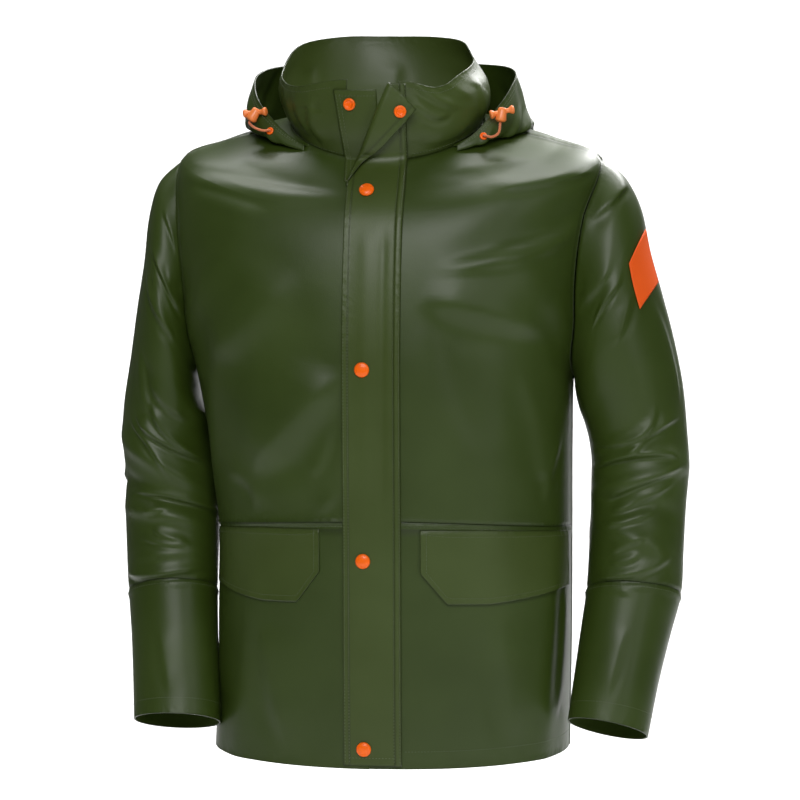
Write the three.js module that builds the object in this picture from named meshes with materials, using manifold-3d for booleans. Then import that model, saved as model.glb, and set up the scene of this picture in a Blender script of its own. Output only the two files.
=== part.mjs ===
// Hooded rain jacket, filled out with no wearer.
// Millimetres, +Z up. The front faces -Y and +X is the wearer's left. The origin is the middle of the neck opening.
import * as THREE from "three";
import { mergeVertices } from "three/addons/utils/BufferGeometryUtils.js";
import Module from "manifold-3d";

// Cloth and seams
const WALL = 1.6;
const SEAM_GAP = 0.3;
const LAY_GAP = 0.8;
const RAD = Math.PI / 180;

// Placket, snaps and small trim
const CENTRE_X = -2;
const PLACKET_LEFT = -31;
const PLACKET_RIGHT = 34.5;
const PLACKET_WALL = 2;
const SNAP_X = -8;
const SNAP_RADIUS = 8.4;
const SNAP_HEIGHT = 4;

// Grids
const FRONT_COLUMNS = 12;
const BACK_COLUMNS = 16;
const SLEEVE_SIDES = 20;
const WAIST = 3;
const NECK = 11;
const RIM = 14;

// Colours
const OLIVE = 0x3f4a2c;
const ORANGE = 0xe4640f;
const BADGE = 0xd9532a;

// Roughness of coated cloth, plastic, and cord
const COATED = 0.42;
const SHINY = 0.35;
const DULL = 0.6;

function table(names, rows) {
  const keys = names.split(" ");
  return rows.map((row) => Object.fromEntries(keys.map((key, i) => [key, row[i]])));
}

// Sections round the body, from the hem to the neck seam: the height at the front, side and back,
// then the half width, the shift of its middle, the depth in front and behind, and how square it is
const BODY = table("front side back half shift deep rear square", [
  [-703, -695, -690, 204, 6, 150, 140, 2.25],
  [-640, -628, -628, 203, 8, 154, 142, 2.25],
  [-536, -540, -540, 202, 10, 157, 142, 2.25],
  [-424, -440, -437, 202, 10, 160, 140, 2.25],
  [-330, -338, -333, 208, 4, 164, 139, 2.3],
  [-248, -264, -252, 216, -2, 166, 139, 2.3],
  [-178, -168, -172, 231, -5, 162, 139, 2.3],
  [-120, -86, -104, 240, -4, 152, 132, 2.25],
  [-82, -23, -50, 241, 4, 138, 119, 2.1],
  [-57, -2, -2, 191, 3, 120, 106, 2.05],
  [-39, 9, 22, 147, 1, 105, 96, 2],
  [-24, 18, 38, 108, 0, 92, 88, 2],
]);

// Sections of the collar, from the neck seam to its rim
const COLLAR = table("half shift deep rear square", [
  [108, 0, 92, 88, 2],
  [118, -1, 104, 97, 2],
  [119, -5, 110, 104, 2],
  [110, -12, 112, 107, 2.1],
]);

// Height of the collar's rim by its turn round the neck
const COLLAR_RIM = table("turn height", [
  [-180, 120],
  [-150, 119],
  [-118, 108],
  [-90, 80],
  [-65, 65],
  [-45, 60],
  [-22, 66],
  [0, 68],
  [25, 65],
  [44, 59],
  [65, 75],
  [90, 88],
  [108, 97],
  [123, 112],
  [150, 119],
  [180, 120],
]);

// The armhole in the body: the row of its middle, half its height in rows, and half its width in degrees
const ARMHOLE = { middle: 6.5, reach: 1.5, open: 20 };

// Rings of each sleeve below the armhole: the outer and inner points, the depth of the middle,
// half the depth, and the lean of the ring. The front is higher on a ring that leans.
const RING_COLUMNS = "outX outZ inX inZ y deep lean";
const SLEEVE_RIGHT = table(RING_COLUMNS, [
  [264, -48, 222, -270, 0, 66, 0],
  [276, -86, 221, -282, 2, 72, 0],
  [282, -136, 220, -294, 4, 75, 0],
  [291, -190, 215.5, -307, 6, 75, 0],
  [300, -250, 207, -324, 8, 73, 2],
  [309, -308, 206, -346, 9, 69, 4],
  [310, -352, 200.5, -374, 9, 65, 6],
  [307, -396, 198.5, -408, 6, 62, 9],
  [306, -438, 197.5, -441, 0, 60, 12],
  [303, -480, 197, -476, -10, 58, 15],
  [299, -522, 196, -514, -22, 56, 18],
  [293, -570, 193, -562, -38, 52, 20],
  [288, -620, 188, -612, -56, 48, 20],
  [284, -664, 184, -664, -74, 44, 20],
]);
const SLEEVE_LEFT = table(RING_COLUMNS, [
  [271, -42, 215, -274, 0, 66, 0],
  [290, -78, 216, -286, 2, 72, 0],
  [301, -128, 218, -297, 4, 75, 0],
  [315, -178, 221, -309, 6, 75, 0],
  [328, -228, 226, -323, 8, 73, 2],
  [338, -278, 231, -342, 9, 69, 4],
  [343, -326, 234, -364, 9, 65, 6],
  [346, -372, 234, -394, 6, 62, 9],
  [343, -416, 234, -426, 0, 60, 12],
  [341, -466, 233, -466, -10, 58, 15],
  [339, -515, 231, -512, -22, 56, 18],
  [328, -560, 226, -556, -38, 52, 20],
  [316, -612, 220, -606, -56, 48, 20],
  [305, -672, 214, -656, -74, 44, 20],
]);
const FOREARM_SEAM = 11;
const CUFF = 14;

// Largest folds of the sleeves: the angle and ring of the middle, the slant in degrees,
// then half the length, half the width and the height
const FOLD_COLUMNS = "phi ring slant long wide high";
const SLEEVE_FOLDS = {
  right: table(FOLD_COLUMNS, [
    [80, 7.4, 26, 70, 13, 5],
    [72, 8.3, 20, 62, 12, -4],
    [84, 9, 12, 60, 12, 5],
    [95, 10.2, -6, 55, 12, 4],
    [250, 7.8, -14, 60, 15, 4],
    [268, 9.1, 10, 60, 14, 5],
  ]),
  left: table(FOLD_COLUMNS, [
    [92, 7.3, -24, 66, 13, 4],
    [86, 8.2, 8, 66, 12, 5],
    [80, 9.1, -16, 60, 12, -4],
    [90, 9.9, -22, 58, 12, 5],
    [262, 8, 12, 60, 15, 4],
    [250, 9.3, -10, 60, 14, 5],
  ]),
};
const SLEEVE_ROUND = 55;
const RING_STEP = 44;

// Largest folds of the body, by turn and height
const BODY_ROUND = 190;
const BODY_FOLDS = table("turn z slant long wide high", [
  [52, -165, -38, 95, 20, 4],
  [66, -230, -30, 80, 18, -3],
  [-56, -175, 40, 95, 20, 4],
  [-64, -330, 62, 110, 20, 3],
  [60, -600, 86, 120, 24, 4],
  [-48, -610, 84, 120, 22, 3],
  [150, -180, 50, 100, 22, 4],
  [-150, -190, -50, 100, 22, 4],
  [160, -520, 88, 150, 26, 4],
  [-158, -560, 92, 130, 26, 4],
  [118, -420, 70, 100, 22, 3],
]);

// The hood pouch by its turn round the neck: how far down the body its lower layer lies,
// then the belly of the outer layer and the opening edge, each as a distance out of the neck and a height
const HOOD = table("turn fold bellyOut bellyZ edgeOut edgeZ", [
  [47, 10.75, 8, -14, 9, -8],
  [60, 10.45, 26, -4, 20, 10],
  [75, 10.05, 44, 16, 36, 42],
  [90, 9.75, 51, 35, 42, 66],
  [112, 9.55, 59, 43, 48, 81],
  [136, 8.6, 76, 24, 56, 87],
  [158, 7.4, 90, -14, 63, 89],
  [180, 6.7, 97, -34, 66, 89],
]);
const HOOD_SHIFT = -5;
const HOOD_START = 47;
const HOOD_SEAM = 157;

// Eases from 0 to 1 between two values
const ramp = (from, to, at) => {
  const f = Math.min(Math.max((at - from) / (to - from), 0), 1);
  return f * f * (3 - 2 * f);
};

// Smooth value of a column at a row number that may lie between rows
function column(rows, name, at) {
  const last = rows.length - 1;
  const i = Math.min(Math.max(Math.floor(at), 0), last - 1);
  const f = at - i;
  const [a, b, c, d] = [i - 1, i, i + 1, i + 2].map((k) => rows[Math.min(Math.max(k, 0), last)][name]);
  return b + 0.5 * f * (c - a + f * (2 * a - 5 * b + 4 * c - d + f * (3 * (b - c) + d - a)));
}

const vec = (x, y, z) => new THREE.Vector3(x, y, z);

// Smooth value of one column against another, for a table sorted by its key
function along(rows, key, name, at) {
  const last = rows.length - 1;
  const i = Math.min(Math.max(rows.findIndex((row) => row[key] > at) - 1, 0), last - 1);
  const k = at >= rows[last][key] ? last - 1 : i;
  const slope = (m) => {
    const [a, b] = [Math.max(m - 1, 0), Math.min(m + 1, last)];
    return (rows[b][name] - rows[a][name]) / (rows[b][key] - rows[a][key]);
  };
  const span = rows[k + 1][key] - rows[k][key];
  const f = Math.min(Math.max((at - rows[k][key]) / span, 0), 1);
  const [p, q] = [rows[k][name], rows[k + 1][name]];
  const bend = f * (1 - f) * span * ((1 - f) * slope(k) - f * slope(k + 1));
  return p + (q - p) * f * f * (3 - 2 * f) + bend;
}

// Height of a ring at a turn, from its heights at the front, the side and the back
function ringHeight(turn, row) {
  const get = (name) => column(BODY, name, row);
  const middle = (get("front") + get("back")) / 2;
  const tip = ((get("front") - get("back")) / 2) * Math.cos(turn * RAD);
  return (middle + get("side")) / 2 + tip + ((middle - get("side")) / 2) * Math.cos(2 * turn * RAD);
}

// Height of one fold at a place given as millimetres round and up from its middle
function foldHeight(fold, round, up) {
  const c = Math.cos(fold.slant * RAD);
  const s = Math.sin(fold.slant * RAD);
  const lengthwise = (round * c + up * s) / fold.long;
  const across = (up * c - round * s) / fold.wide;
  return fold.high * Math.exp(-(lengthwise ** 4) - across ** 2);
}

// A turn brought to between -180 and 180 degrees
const around = (turn) => ((((turn + 180) % 360) + 360) % 360) - 180;

// A point of the body or, past the neck seam, of the collar. Turn 0 is the front, 90 the wearer's left.
function shell(turn, rise) {
  const rows = rise > NECK ? COLLAR : BODY;
  const at = rise > NECK ? rise - NECK : rise;
  const get = (name) => column(rows, name, at);
  const s = Math.sin(turn * RAD);
  const c = Math.cos(turn * RAD);
  const n = get("square");
  const k = (Math.abs(s) ** n + Math.abs(c) ** n) ** (-1 / n);
  const depth = (get("deep") + get("rear")) / 2 + ((get("deep") - get("rear")) / 2) * Math.tanh(4 * c);
  let z = ringHeight(turn, Math.min(rise, NECK));
  if (rise > NECK) {
    z += (along(COLLAR_RIM, "turn", "height", around(turn)) - z) * ((rise - NECK) / (RIM - NECK));
  }
  const swell = rise > NECK ? 0 : BODY_FOLDS.reduce((sum, fold) => {
    return sum + foldHeight(fold, around(turn - fold.turn) * RAD * BODY_ROUND, z - fold.z);
  }, 0);
  return vec(get("shift") + get("half") * k * s + swell * s, -depth * k * c - swell * c, z);
}

// A surface's point and outward normal, from small steps along it
function sample(surface, a, b, stepA = 0.5, stepB = 0.02) {
  const p = surface(a, b);
  const along = surface(a + stepA, b).sub(surface(a - stepA, b));
  const up = surface(a, b + stepB).sub(surface(a, b - stepB));
  return { p, n: along.cross(up).normalize() };
}

// The shell's point and normal, with the small steps kept on one side of the neck seam
function shellAt(turn, rise) {
  const inside = rise <= NECK ? Math.min(rise, NECK - 0.03) : Math.max(rise, NECK + 0.03);
  const { n } = sample(shell, turn, Math.max(inside, 0));
  return { p: shell(turn, rise), n };
}

// The turn at which the front of the shell has the given X
function turnAt(x, rise) {
  const rows = rise > NECK ? COLLAR : BODY;
  const at = rise > NECK ? rise - NECK : rise;
  return Math.atan2(x - column(rows, "shift", at), column(rows, "half", at)) / RAD;
}

// A closed cloth solid from a grid of columns, each a list of points with normals
function clothSolid(grid, options = {}) {
  const { thick = WALL, closed = false, pull = {} } = options;
  const columns = grid.length;
  const rows = grid[0].length;
  const outer = grid.map((line) => line.map(({ p }) => p.clone()));
  const shove = (i, j, towardI, towardJ, amount) => {
    const step = grid[towardI][towardJ].p.clone().sub(grid[i][j].p).setLength(amount);
    outer[i][j].add(step);
  };
  for (let i = 0; i < columns; i++) {
    if (pull.low) shove(i, 0, i, 1, pull.low);
    if (pull.high) shove(i, rows - 1, i, rows - 2, pull.high);
  }
  for (let j = 0; j < rows; j++) {
    if (pull.first) shove(0, j, 1, j, pull.first);
    if (pull.last) shove(columns - 1, j, columns - 2, j, pull.last);
  }
  const inner = outer.map((line, i) =>
    line.map((p, j) => {
      const way = grid[i][j].way || grid[i][j].n.clone().negate();
      return p.clone().addScaledVector(way, grid[i][j].thick || thick);
    }),
  );
  const count = columns * rows;
  const positions = [...outer.flat(), ...inner.flat()].flatMap((p) => p.toArray());
  const at = (i, j) => (i % columns) * rows + j;
  const faces = [];
  const quad = (a, b, c, d) => faces.push([a, b, c], [a, c, d]);
  const spans = closed ? columns : columns - 1;
  for (let i = 0; i < spans; i++) {
    for (let j = 0; j < rows - 1; j++) {
      const [a, b, c, d] = [at(i, j), at(i + 1, j), at(i + 1, j + 1), at(i, j + 1)];
      quad(a, b, c, d);
      quad(count + d, count + c, count + b, count + a);
    }
    quad(at(i + 1, 0), at(i, 0), count + at(i, 0), count + at(i + 1, 0));
    quad(at(i, rows - 1), at(i + 1, rows - 1), count + at(i + 1, rows - 1), count + at(i, rows - 1));
  }
  if (!closed) {
    for (let j = 0; j < rows - 1; j++) {
      quad(at(0, j), at(0, j + 1), count + at(0, j + 1), count + at(0, j));
      const end = columns - 1;
      quad(at(end, j + 1), at(end, j), count + at(end, j), count + at(end, j + 1));
    }
  }
  const geometry = new THREE.BufferGeometry();
  geometry.setAttribute("position", new THREE.Float32BufferAttribute(positions, 3));
  geometry.setIndex(faces.flat());
  return facingOut(geometry);
}

// Turns every face round if the solid's volume comes out negative
function facingOut(geometry) {
  const position = geometry.getAttribute("position");
  const index = geometry.getIndex().array;
  const corner = (k) => new THREE.Vector3().fromBufferAttribute(position, index[k]);
  let volume = 0;
  for (let k = 0; k < index.length; k += 3) volume += corner(k).dot(corner(k + 1).cross(corner(k + 2)));
  if (volume < 0) for (let k = 0; k < index.length; k += 3) [index[k + 1], index[k + 2]] = [index[k + 2], index[k + 1]];
  geometry.computeVertexNormals();
  return geometry;
}

const wasm = await Module();
wasm.setup();
const coat = new THREE.Group();

function add(name, geometry, color, roughness = COATED) {
  const mesh = new THREE.Mesh(geometry, new THREE.MeshStandardMaterial({ color, roughness, metalness: 0 }));
  mesh.name = name;
  coat.add(mesh);
  return mesh;
}

const steps = (from, to, count) => Array.from({ length: count + 1 }, (_, i) => from + ((to - from) * i) / count);

// Rows of the body grids. Those beside the armhole stand at the sleeve's own points.
const armholeRows = steps(180, 0, SLEEVE_SIDES / 2).map((phi) => ARMHOLE.middle + ARMHOLE.reach * Math.cos(phi * RAD));
const LOWER_ROWS = steps(0, WAIST, 6);
const SIDE_ROWS = steps(WAIST, armholeRows[0], 4).slice(0, -1);
const TOP_ROWS = steps(armholeRows.at(-1), NECK, 4).slice(1);
const UPPER_ROWS = [...SIDE_ROWS, ...armholeRows, ...TOP_ROWS];

// How far the armhole cuts into the panels at a row, in degrees from the side
function armholeCut(rise) {
  const h = (rise - ARMHOLE.middle) / ARMHOLE.reach;
  return Math.abs(h) >= 1 ? 0 : ARMHOLE.open * Math.sqrt(1 - h * h);
}

// Turns of a front's columns at a row, from the centre to the side
function frontTurns(side, rise) {
  return steps(turnAt(CENTRE_X, rise), side * (90 - armholeCut(rise)), FRONT_COLUMNS);
}

function backTurns(rise) {
  return steps(90 + armholeCut(rise), 270 - armholeCut(rise), BACK_COLUMNS);
}

// Grid of a panel, given the turns of its columns at each row
function panelGrid(rows, turnsOf) {
  const lines = rows.map((rise) => turnsOf(rise).map((turn) => shellAt(turn, rise)));
  return lines[0].map((_, i) => lines.map((line) => line[i]));
}

const HALF_GAP = SEAM_GAP / 2;
for (const [side, hand] of [[-1, "right"], [1, "left"]]) {
  const turns = (rise) => frontTurns(side, rise);
  const pull = { first: HALF_GAP, last: HALF_GAP, low: HALF_GAP, high: HALF_GAP };
  add(`front_lower_${hand}`, clothSolid(panelGrid(LOWER_ROWS, turns), { pull: { ...pull, low: 0 } }), OLIVE);
  add(`front_upper_${hand}`, clothSolid(panelGrid(UPPER_ROWS, turns), { pull }), OLIVE);
}
const backPull = { first: HALF_GAP, last: HALF_GAP, high: HALF_GAP };
const backGrid = panelGrid([...LOWER_ROWS.slice(0, -1), ...UPPER_ROWS], backTurns);
add("back", clothSolid(backGrid, { pull: backPull }), OLIVE);

// The armhole's edge on the shell at an angle: 0 the shoulder, 90 the front, 180 the armpit
function armhole(side, phi) {
  const rise = ARMHOLE.middle + ARMHOLE.reach * Math.cos(phi * RAD);
  return shellAt(side * (90 - ARMHOLE.open * Math.sin(phi * RAD)), rise);
}

// The sleeve's first point beside the armhole's edge, with the way across the gap
function sleeveRoot(side, phi) {
  const { p, n } = armhole(side, phi);
  const across = shell(side * 90, ARMHOLE.middle).sub(p).projectOnPlane(n).normalize();
  return { p: p.addScaledVector(across, SEAM_GAP).addScaledVector(n, SEAM_GAP), across };
}

function sleeveRing(side, phi, ring) {
  if (ring <= 0) return sleeveRoot(side, phi).p;
  const rows = side < 0 ? SLEEVE_RIGHT : SLEEVE_LEFT;
  const row = rows[Math.min(ring, CUFF) - 1];
  const c = Math.cos(phi * RAD);
  const s = Math.sin(phi * RAD);
  const x = (row.outX + row.inX) / 2 + (c * (row.outX - row.inX)) / 2;
  const z = (row.outZ + row.inZ) / 2 + (c * (row.outZ - row.inZ)) / 2 + s * row.deep * Math.sin(row.lean * RAD);
  return vec(side * x, row.y - s * row.deep * Math.cos(row.lean * RAD), z);
}

// A point of a sleeve, smooth through its rings
function sleeve(side, phi, at) {
  const i = Math.min(Math.max(Math.floor(at), 0), CUFF - 1);
  const f = at - i;
  const [a, b, c, d] = [i - 1, i, i + 1, i + 2].map((k) => sleeveRing(side, phi, Math.min(Math.max(k, 0), CUFF)));
  const blend = (p, q, r, s) => q + 0.5 * f * (r - p + f * (2 * p - 5 * q + 4 * r - s + f * (3 * (q - r) + s - p)));
  const p = vec(blend(a.x, b.x, c.x, d.x), blend(a.y, b.y, c.y, d.y), blend(a.z, b.z, c.z, d.z));
  const swell = SLEEVE_FOLDS[side < 0 ? "right" : "left"].reduce((sum, fold) => {
    return sum + foldHeight(fold, around(phi - fold.phi) * RAD * SLEEVE_ROUND, (at - fold.ring) * RING_STEP);
  }, 0);
  return p.add(vec(side * Math.cos(phi * RAD), -Math.sin(phi * RAD), 0).multiplyScalar(swell));
}

function sleeveAt(side, phi, at) {
  const found = sample((a, b) => sleeve(side, a, b), phi, Math.min(Math.max(at, 0.04), CUFF - 0.04), 1, 0.03);
  const axis = sleeve(side, phi + 180, at);
  const p = sleeve(side, phi, at);
  if (found.n.dot(p.clone().sub(axis)) < 0) found.n.negate();
  return { p, n: found.n };
}

function sleeveGrid(side, rings) {
  return steps(0, 360, SLEEVE_SIDES).slice(0, -1).map((phi) => rings.map((at) => {
    const point = sleeveAt(side, phi, at);
    if (at > 0) return point;
    const { across } = sleeveRoot(side, phi);
    const way = point.n.clone().negate();
    const back = way.dot(across);
    if (back < 0) way.addScaledVector(across, -back).normalize();
    return { ...point, way };
  }));
}

for (const [side, hand] of [[-1, "right"], [1, "left"]]) {
  const upper = [0, 0.5, ...steps(1, 6, 5), ...steps(6, FOREARM_SEAM, 11).slice(1)];
  const lower = steps(FOREARM_SEAM, CUFF, 5);
  const upperGrid = sleeveGrid(side, upper);
  const lowerGrid = sleeveGrid(side, lower);
  add(`sleeve_upper_${hand}`, clothSolid(upperGrid, { closed: true, pull: { high: HALF_GAP } }), OLIVE);
  add(`sleeve_lower_${hand}`, clothSolid(lowerGrid, { closed: true, pull: { low: HALF_GAP } }), OLIVE);
}

// Collar, from the wearer's left end round the back to the right end
const COLLAR_END_COLUMN = 2;
function collarTurns(rise) {
  const left = frontTurns(1, rise).slice(COLLAR_END_COLUMN);
  const back = backTurns(rise).slice(1, -1);
  const right = frontTurns(-1, rise).slice(COLLAR_END_COLUMN).map((turn) => turn + 360);
  return [...left, ...back, ...right.reverse()];
}
const collarGrid = panelGrid(steps(NECK + 0.001, RIM, 6), collarTurns);
add("collar", clothSolid(collarGrid, { pull: { low: SEAM_GAP } }), OLIVE);

// The hood: a lower layer that lies on the shoulders and back, then a belly and the opening edge.
// Part 0 is at the neck seam, 1 at the fold and 3 at the edge.
const HOOD_LIFT = 1.2;
const HOOD_ROOT = 10.9;
function hood(turn, part) {
  const away = Math.min(Math.max(Math.abs(turn > 180 ? turn - 360 : turn), HOOD_START), 180);
  const get = (name) => along(HOOD, "turn", name, away);
  const fold = get("fold");
  if (part <= 1) {
    const { p, n } = shellAt(turn, HOOD_ROOT + (fold - HOOD_ROOT) * part);
    return p.addScaledVector(n, HOOD_LIFT + 3 * part * part);
  }
  const neck = shell(turn, NECK);
  const out = vec(Math.sin(turn * RAD) / 108, -Math.cos(turn * RAD) / 90, 0).normalize();
  const aside = vec(HOOD_SHIFT * ramp(47, 80, away), 0, 0);
  const start = hood(turn, 1);
  const before = hood(turn, 0.85);
  const belly = neck.clone().addScaledVector(out, get("bellyOut")).setZ(get("bellyZ")).add(aside);
  const edge = neck.clone().addScaledVector(out, get("edgeOut")).setZ(get("edgeZ")).add(aside);
  const f = part - 1;
  const leave = start.clone().sub(before).setLength(start.distanceTo(belly) * 1.1);
  const arrive = edge.clone().sub(start).setLength(start.distanceTo(edge) * 0.55);
  if (f <= 1) return hermite(start, leave, belly, arrive, f);
  const finish = edge.clone().sub(belly).setLength(belly.distanceTo(edge));
  return hermite(belly, arrive.setLength(belly.distanceTo(edge)), edge, finish, f - 1);
}

function hermite(a, leave, b, arrive, f) {
  const [f2, f3] = [f * f, f * f * f];
  return a.clone().multiplyScalar(2 * f3 - 3 * f2 + 1)
    .addScaledVector(leave, f3 - 2 * f2 + f)
    .addScaledVector(b, 3 * f2 - 2 * f3)
    .addScaledVector(arrive, f3 - f2);
}

function hoodAt(turn, part) {
  const step = 0.03;
  const inside = Math.min(Math.max(part, step), 3 - step);
  const sideways = hood(turn + 1, inside).sub(hood(turn - 1, inside));
  const up = hood(turn, inside + step).sub(hood(turn, inside - step));
  return { p: hood(turn, part), n: sideways.cross(up).normalize() };
}

const HOOD_PARTS = [0, 0.25, 0.5, 0.75, 1, 1.2, 1.4, 1.6, 1.8, 2, 2.33, 2.66, 3];
const HOOD_PULL = 0.5;
function hoodPanel(name, from, to, columns, pull) {
  const grid = steps(from, to, columns).map((turn) => HOOD_PARTS.map((part) => hoodAt(turn, part)));
  add(name, clothSolid(grid, { pull }), OLIVE);
}
hoodPanel("hood_side_left", HOOD_START + 1, HOOD_SEAM, 12, { last: HOOD_PULL });
hoodPanel("hood_centre", HOOD_SEAM, 360 - HOOD_SEAM, 5, { first: HOOD_PULL, last: HOOD_PULL });
hoodPanel("hood_side_right", 360 - HOOD_SEAM, 359 - HOOD_START, 12, { first: HOOD_PULL });

// The row below a top row where the shell reaches a height, given the turn for each row
const HALVINGS = 26;
function riseAt(z, top, turnOf) {
  let [low, high] = [0, top];
  for (let i = 0; i < HALVINGS; i++) {
    const middle = (low + high) / 2;
    if (shell(turnOf(middle), middle).z < z) low = middle;
    else high = middle;
  }
  return (low + high) / 2;
}

// Front strips and flaps lie on the shell at a lift. Near the neck seam the normal turns over gradually.

const CREASE = 0.25;
function frontPoint(x, z, lift) {
  const rise = riseAt(z, RIM, (row) => turnAt(x, row));
  const { p, n } = shellAt(turnAt(x, rise), rise);
  if (Math.abs(rise - NECK) < CREASE) {
    const below = shellAt(turnAt(x, NECK), NECK - CREASE).n;
    const above = shellAt(turnAt(x, NECK), NECK + CREASE).n;
    n.copy(below).lerp(above, (rise - NECK + CREASE) / (2 * CREASE)).normalize();
  }
  return { p: p.addScaledVector(n, lift), n };
}

// Storm placket: a strip sewn at the wearer's left, its top corner turned open over a slanting bend
const HEM_Z = -702;
const PLACKET_TOP = 66;
const TAB_LIFT = 2.6;
const BEND = { x0: PLACKET_LEFT, z0: -56, x1: 20, z1: PLACKET_TOP, radius: 4 };
const bendLength = Math.hypot(BEND.x1 - BEND.x0, BEND.z1 - BEND.z0);
const bendAlong = { x: (BEND.x1 - BEND.x0) / bendLength, z: (BEND.z1 - BEND.z0) / bendLength };
const bendAcross = { x: -bendAlong.z, z: bendAlong.x };
const BEND_ARC = Math.PI * BEND.radius;
const OVER_TAB = { from: -130, to: -70, rise: 3 };

const placketLift = (z) => LAY_GAP + PLACKET_WALL + OVER_TAB.rise * ramp(OVER_TAB.from, OVER_TAB.to, z);

function placketPoint(x, z) {
  const past = (x - BEND.x0) * bendAcross.x + (z - BEND.z0) * bendAcross.z;
  if (past <= 0) return frontPoint(x, z, placketLift(z));
  const foot = { x: x - past * bendAcross.x, z: z - past * bendAcross.z };
  if (past < BEND_ARC) {
    const { p, n } = frontPoint(foot.x, foot.z, placketLift(foot.z));
    const side = vec(bendAcross.x, 0, bendAcross.z).projectOnPlane(n).normalize();
    const angle = past / BEND.radius;
    p.addScaledVector(side, BEND.radius * Math.sin(angle));
    p.addScaledVector(n, BEND.radius * (1 - Math.cos(angle)));
    return { p, n, way: n.clone().multiplyScalar(-Math.cos(angle)).addScaledVector(side, Math.sin(angle)) };
  }
  const back = past - BEND_ARC;
  const at = { x: foot.x - back * bendAcross.x, z: foot.z - back * bendAcross.z };
  const { p, n } = frontPoint(at.x, at.z, placketLift(at.z) + 2 * BEND.radius);
  return { p, n, way: n.clone() };
}

// X of the placket's columns at a height, gathered at the bend where there is one
const PLACKET_SPANS = { flat: 4, bend: 5, back: 2 };
const BACK_MARGIN = 4;
const FLAT_MARGIN = 12;
function placketColumns(z) {
  const { flat, bend, back } = PLACKET_SPANS;
  const even = steps(PLACKET_RIGHT, PLACKET_LEFT, flat + bend + back);
  const line = BEND.x0 + ((z - BEND.z0) * bendAlong.x) / bendAlong.z;
  const reach = Math.max(line - BEND_ARC / Math.abs(bendAcross.x), PLACKET_LEFT + BACK_MARGIN);
  const edge = Math.max(line, PLACKET_LEFT + FLAT_MARGIN);
  const start = steps(PLACKET_RIGHT, edge, flat).slice(0, -1);
  const middle = steps(edge, reach, bend).slice(0, -1);
  const gathered = [...start, ...middle, ...steps(reach, PLACKET_LEFT, back)];
  return even.map((x, i) => x + (gathered[i] - x) * ramp(BEND.z0 - 10, BEND.z0 + 40, z));
}

const CHEST_Z = -140;
const placketRows = [...steps(HEM_Z, CHEST_Z, 11), ...steps(CHEST_Z, PLACKET_TOP, 15).slice(1)];
const placketLines = placketRows.map((z) => placketColumns(z).map((x) => placketPoint(x, z)));
const placketGrid = placketLines[0].map((_, i) => placketLines.map((line) => line[i]));
add("storm_placket", clothSolid(placketGrid, { thick: PLACKET_WALL }), OLIVE);

// Neck tab at the wearer's right collar end, running down under the placket
const TAB = { left: -50, leftLow: -36, right: 1, rightLow: 7, top: 56, bottom: -48 };
const tabLines = steps(TAB.bottom, TAB.top, 9).map((z) => {
  const up = (z - TAB.bottom) / (TAB.top - TAB.bottom);
  const from = TAB.leftLow + (TAB.left - TAB.leftLow) * up;
  const to = TAB.rightLow + (TAB.right - TAB.rightLow) * up;
  return steps(from, to, 4).map((x) => frontPoint(x, z, TAB_LIFT));
});
add("neck_tab", clothSolid(tabLines[0].map((_, i) => tabLines.map((line) => line[i]))), OLIVE);

// Pocket flaps: the height of the top and bottom edge by the share of the width from the inner end
const FLAP = table("share top bottom", [
  [0, -433, -481],
  [0.13, -433, -516],
  [0.35, -434, -517],
  [0.6, -437, -512],
  [0.8, -440, -507],
  [1, -443, -505],
]);
const FLAP_INNER = { left: 56, right: -61 };
const FLAP_OUTER_TURN = 77;
const FLAP_SHARES = [0, 0.065, ...steps(0.13, 1, 13)];
const FLAP_LIFT = LAY_GAP + PLACKET_WALL;
const FLAP_FLARE = 1.2;

function linear(rows, key, name, at) {
  const i = Math.min(Math.max(rows.findIndex((row) => row[key] >= at), 1), rows.length - 1);
  const [a, b] = [rows[i - 1], rows[i]];
  return a[name] + ((b[name] - a[name]) * (at - a[key])) / (b[key] - a[key]);
}

for (const [side, hand] of [[-1, "right"], [1, "left"]]) {
  const inner = turnAt(FLAP_INNER[hand], WAIST);
  const grid = FLAP_SHARES.map((share) => {
    const turn = inner + (side * FLAP_OUTER_TURN - inner) * share;
    const top = linear(FLAP, "share", "top", share);
    const bottom = linear(FLAP, "share", "bottom", share);
    return steps(0, 1, 4).map((down) => {
      const { p, n } = shellAt(turn, riseAt(top + (bottom - top) * down, NECK, () => turn));
      return { p: p.addScaledVector(n, FLAP_LIFT + FLAP_FLARE * down), n };
    });
  });
  add(`pocket_flap_${hand}`, clothSolid(grid, { thick: PLACKET_WALL }), OLIVE);
}

// Snaps: domed caps on the placket, and the open halves at the neck
const SNAP_HEIGHTS = [-60, -254, -468, -680];
const DOME = [[0, 0], [SNAP_RADIUS, 0], [SNAP_RADIUS, 1.2], [7.4, 2.6], [4.2, 3.8], [0, SNAP_HEIGHT]];
const RING_ON_TAB = { x: -29.5, z: 40 };
const RING_ON_CORNER = { x: 26, z: 33 };
const RING = [[0, 0], [7, 0], [7, 1.4], [6, 2.4], [4.4, 2.4], [3.6, 1.2], [0, 1]];

// Stands a turned profile on a surface, its axis along the surface's normal
function seated(profile, spot, sides = 14) {
  const geometry = new THREE.LatheGeometry(profile.map(([r, h]) => new THREE.Vector2(r, h)), sides);
  const turn = new THREE.Quaternion().setFromUnitVectors(vec(0, 1, 0), spot.n);
  return geometry.applyQuaternion(turn).translate(spot.p.x, spot.p.y, spot.p.z);
}

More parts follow.
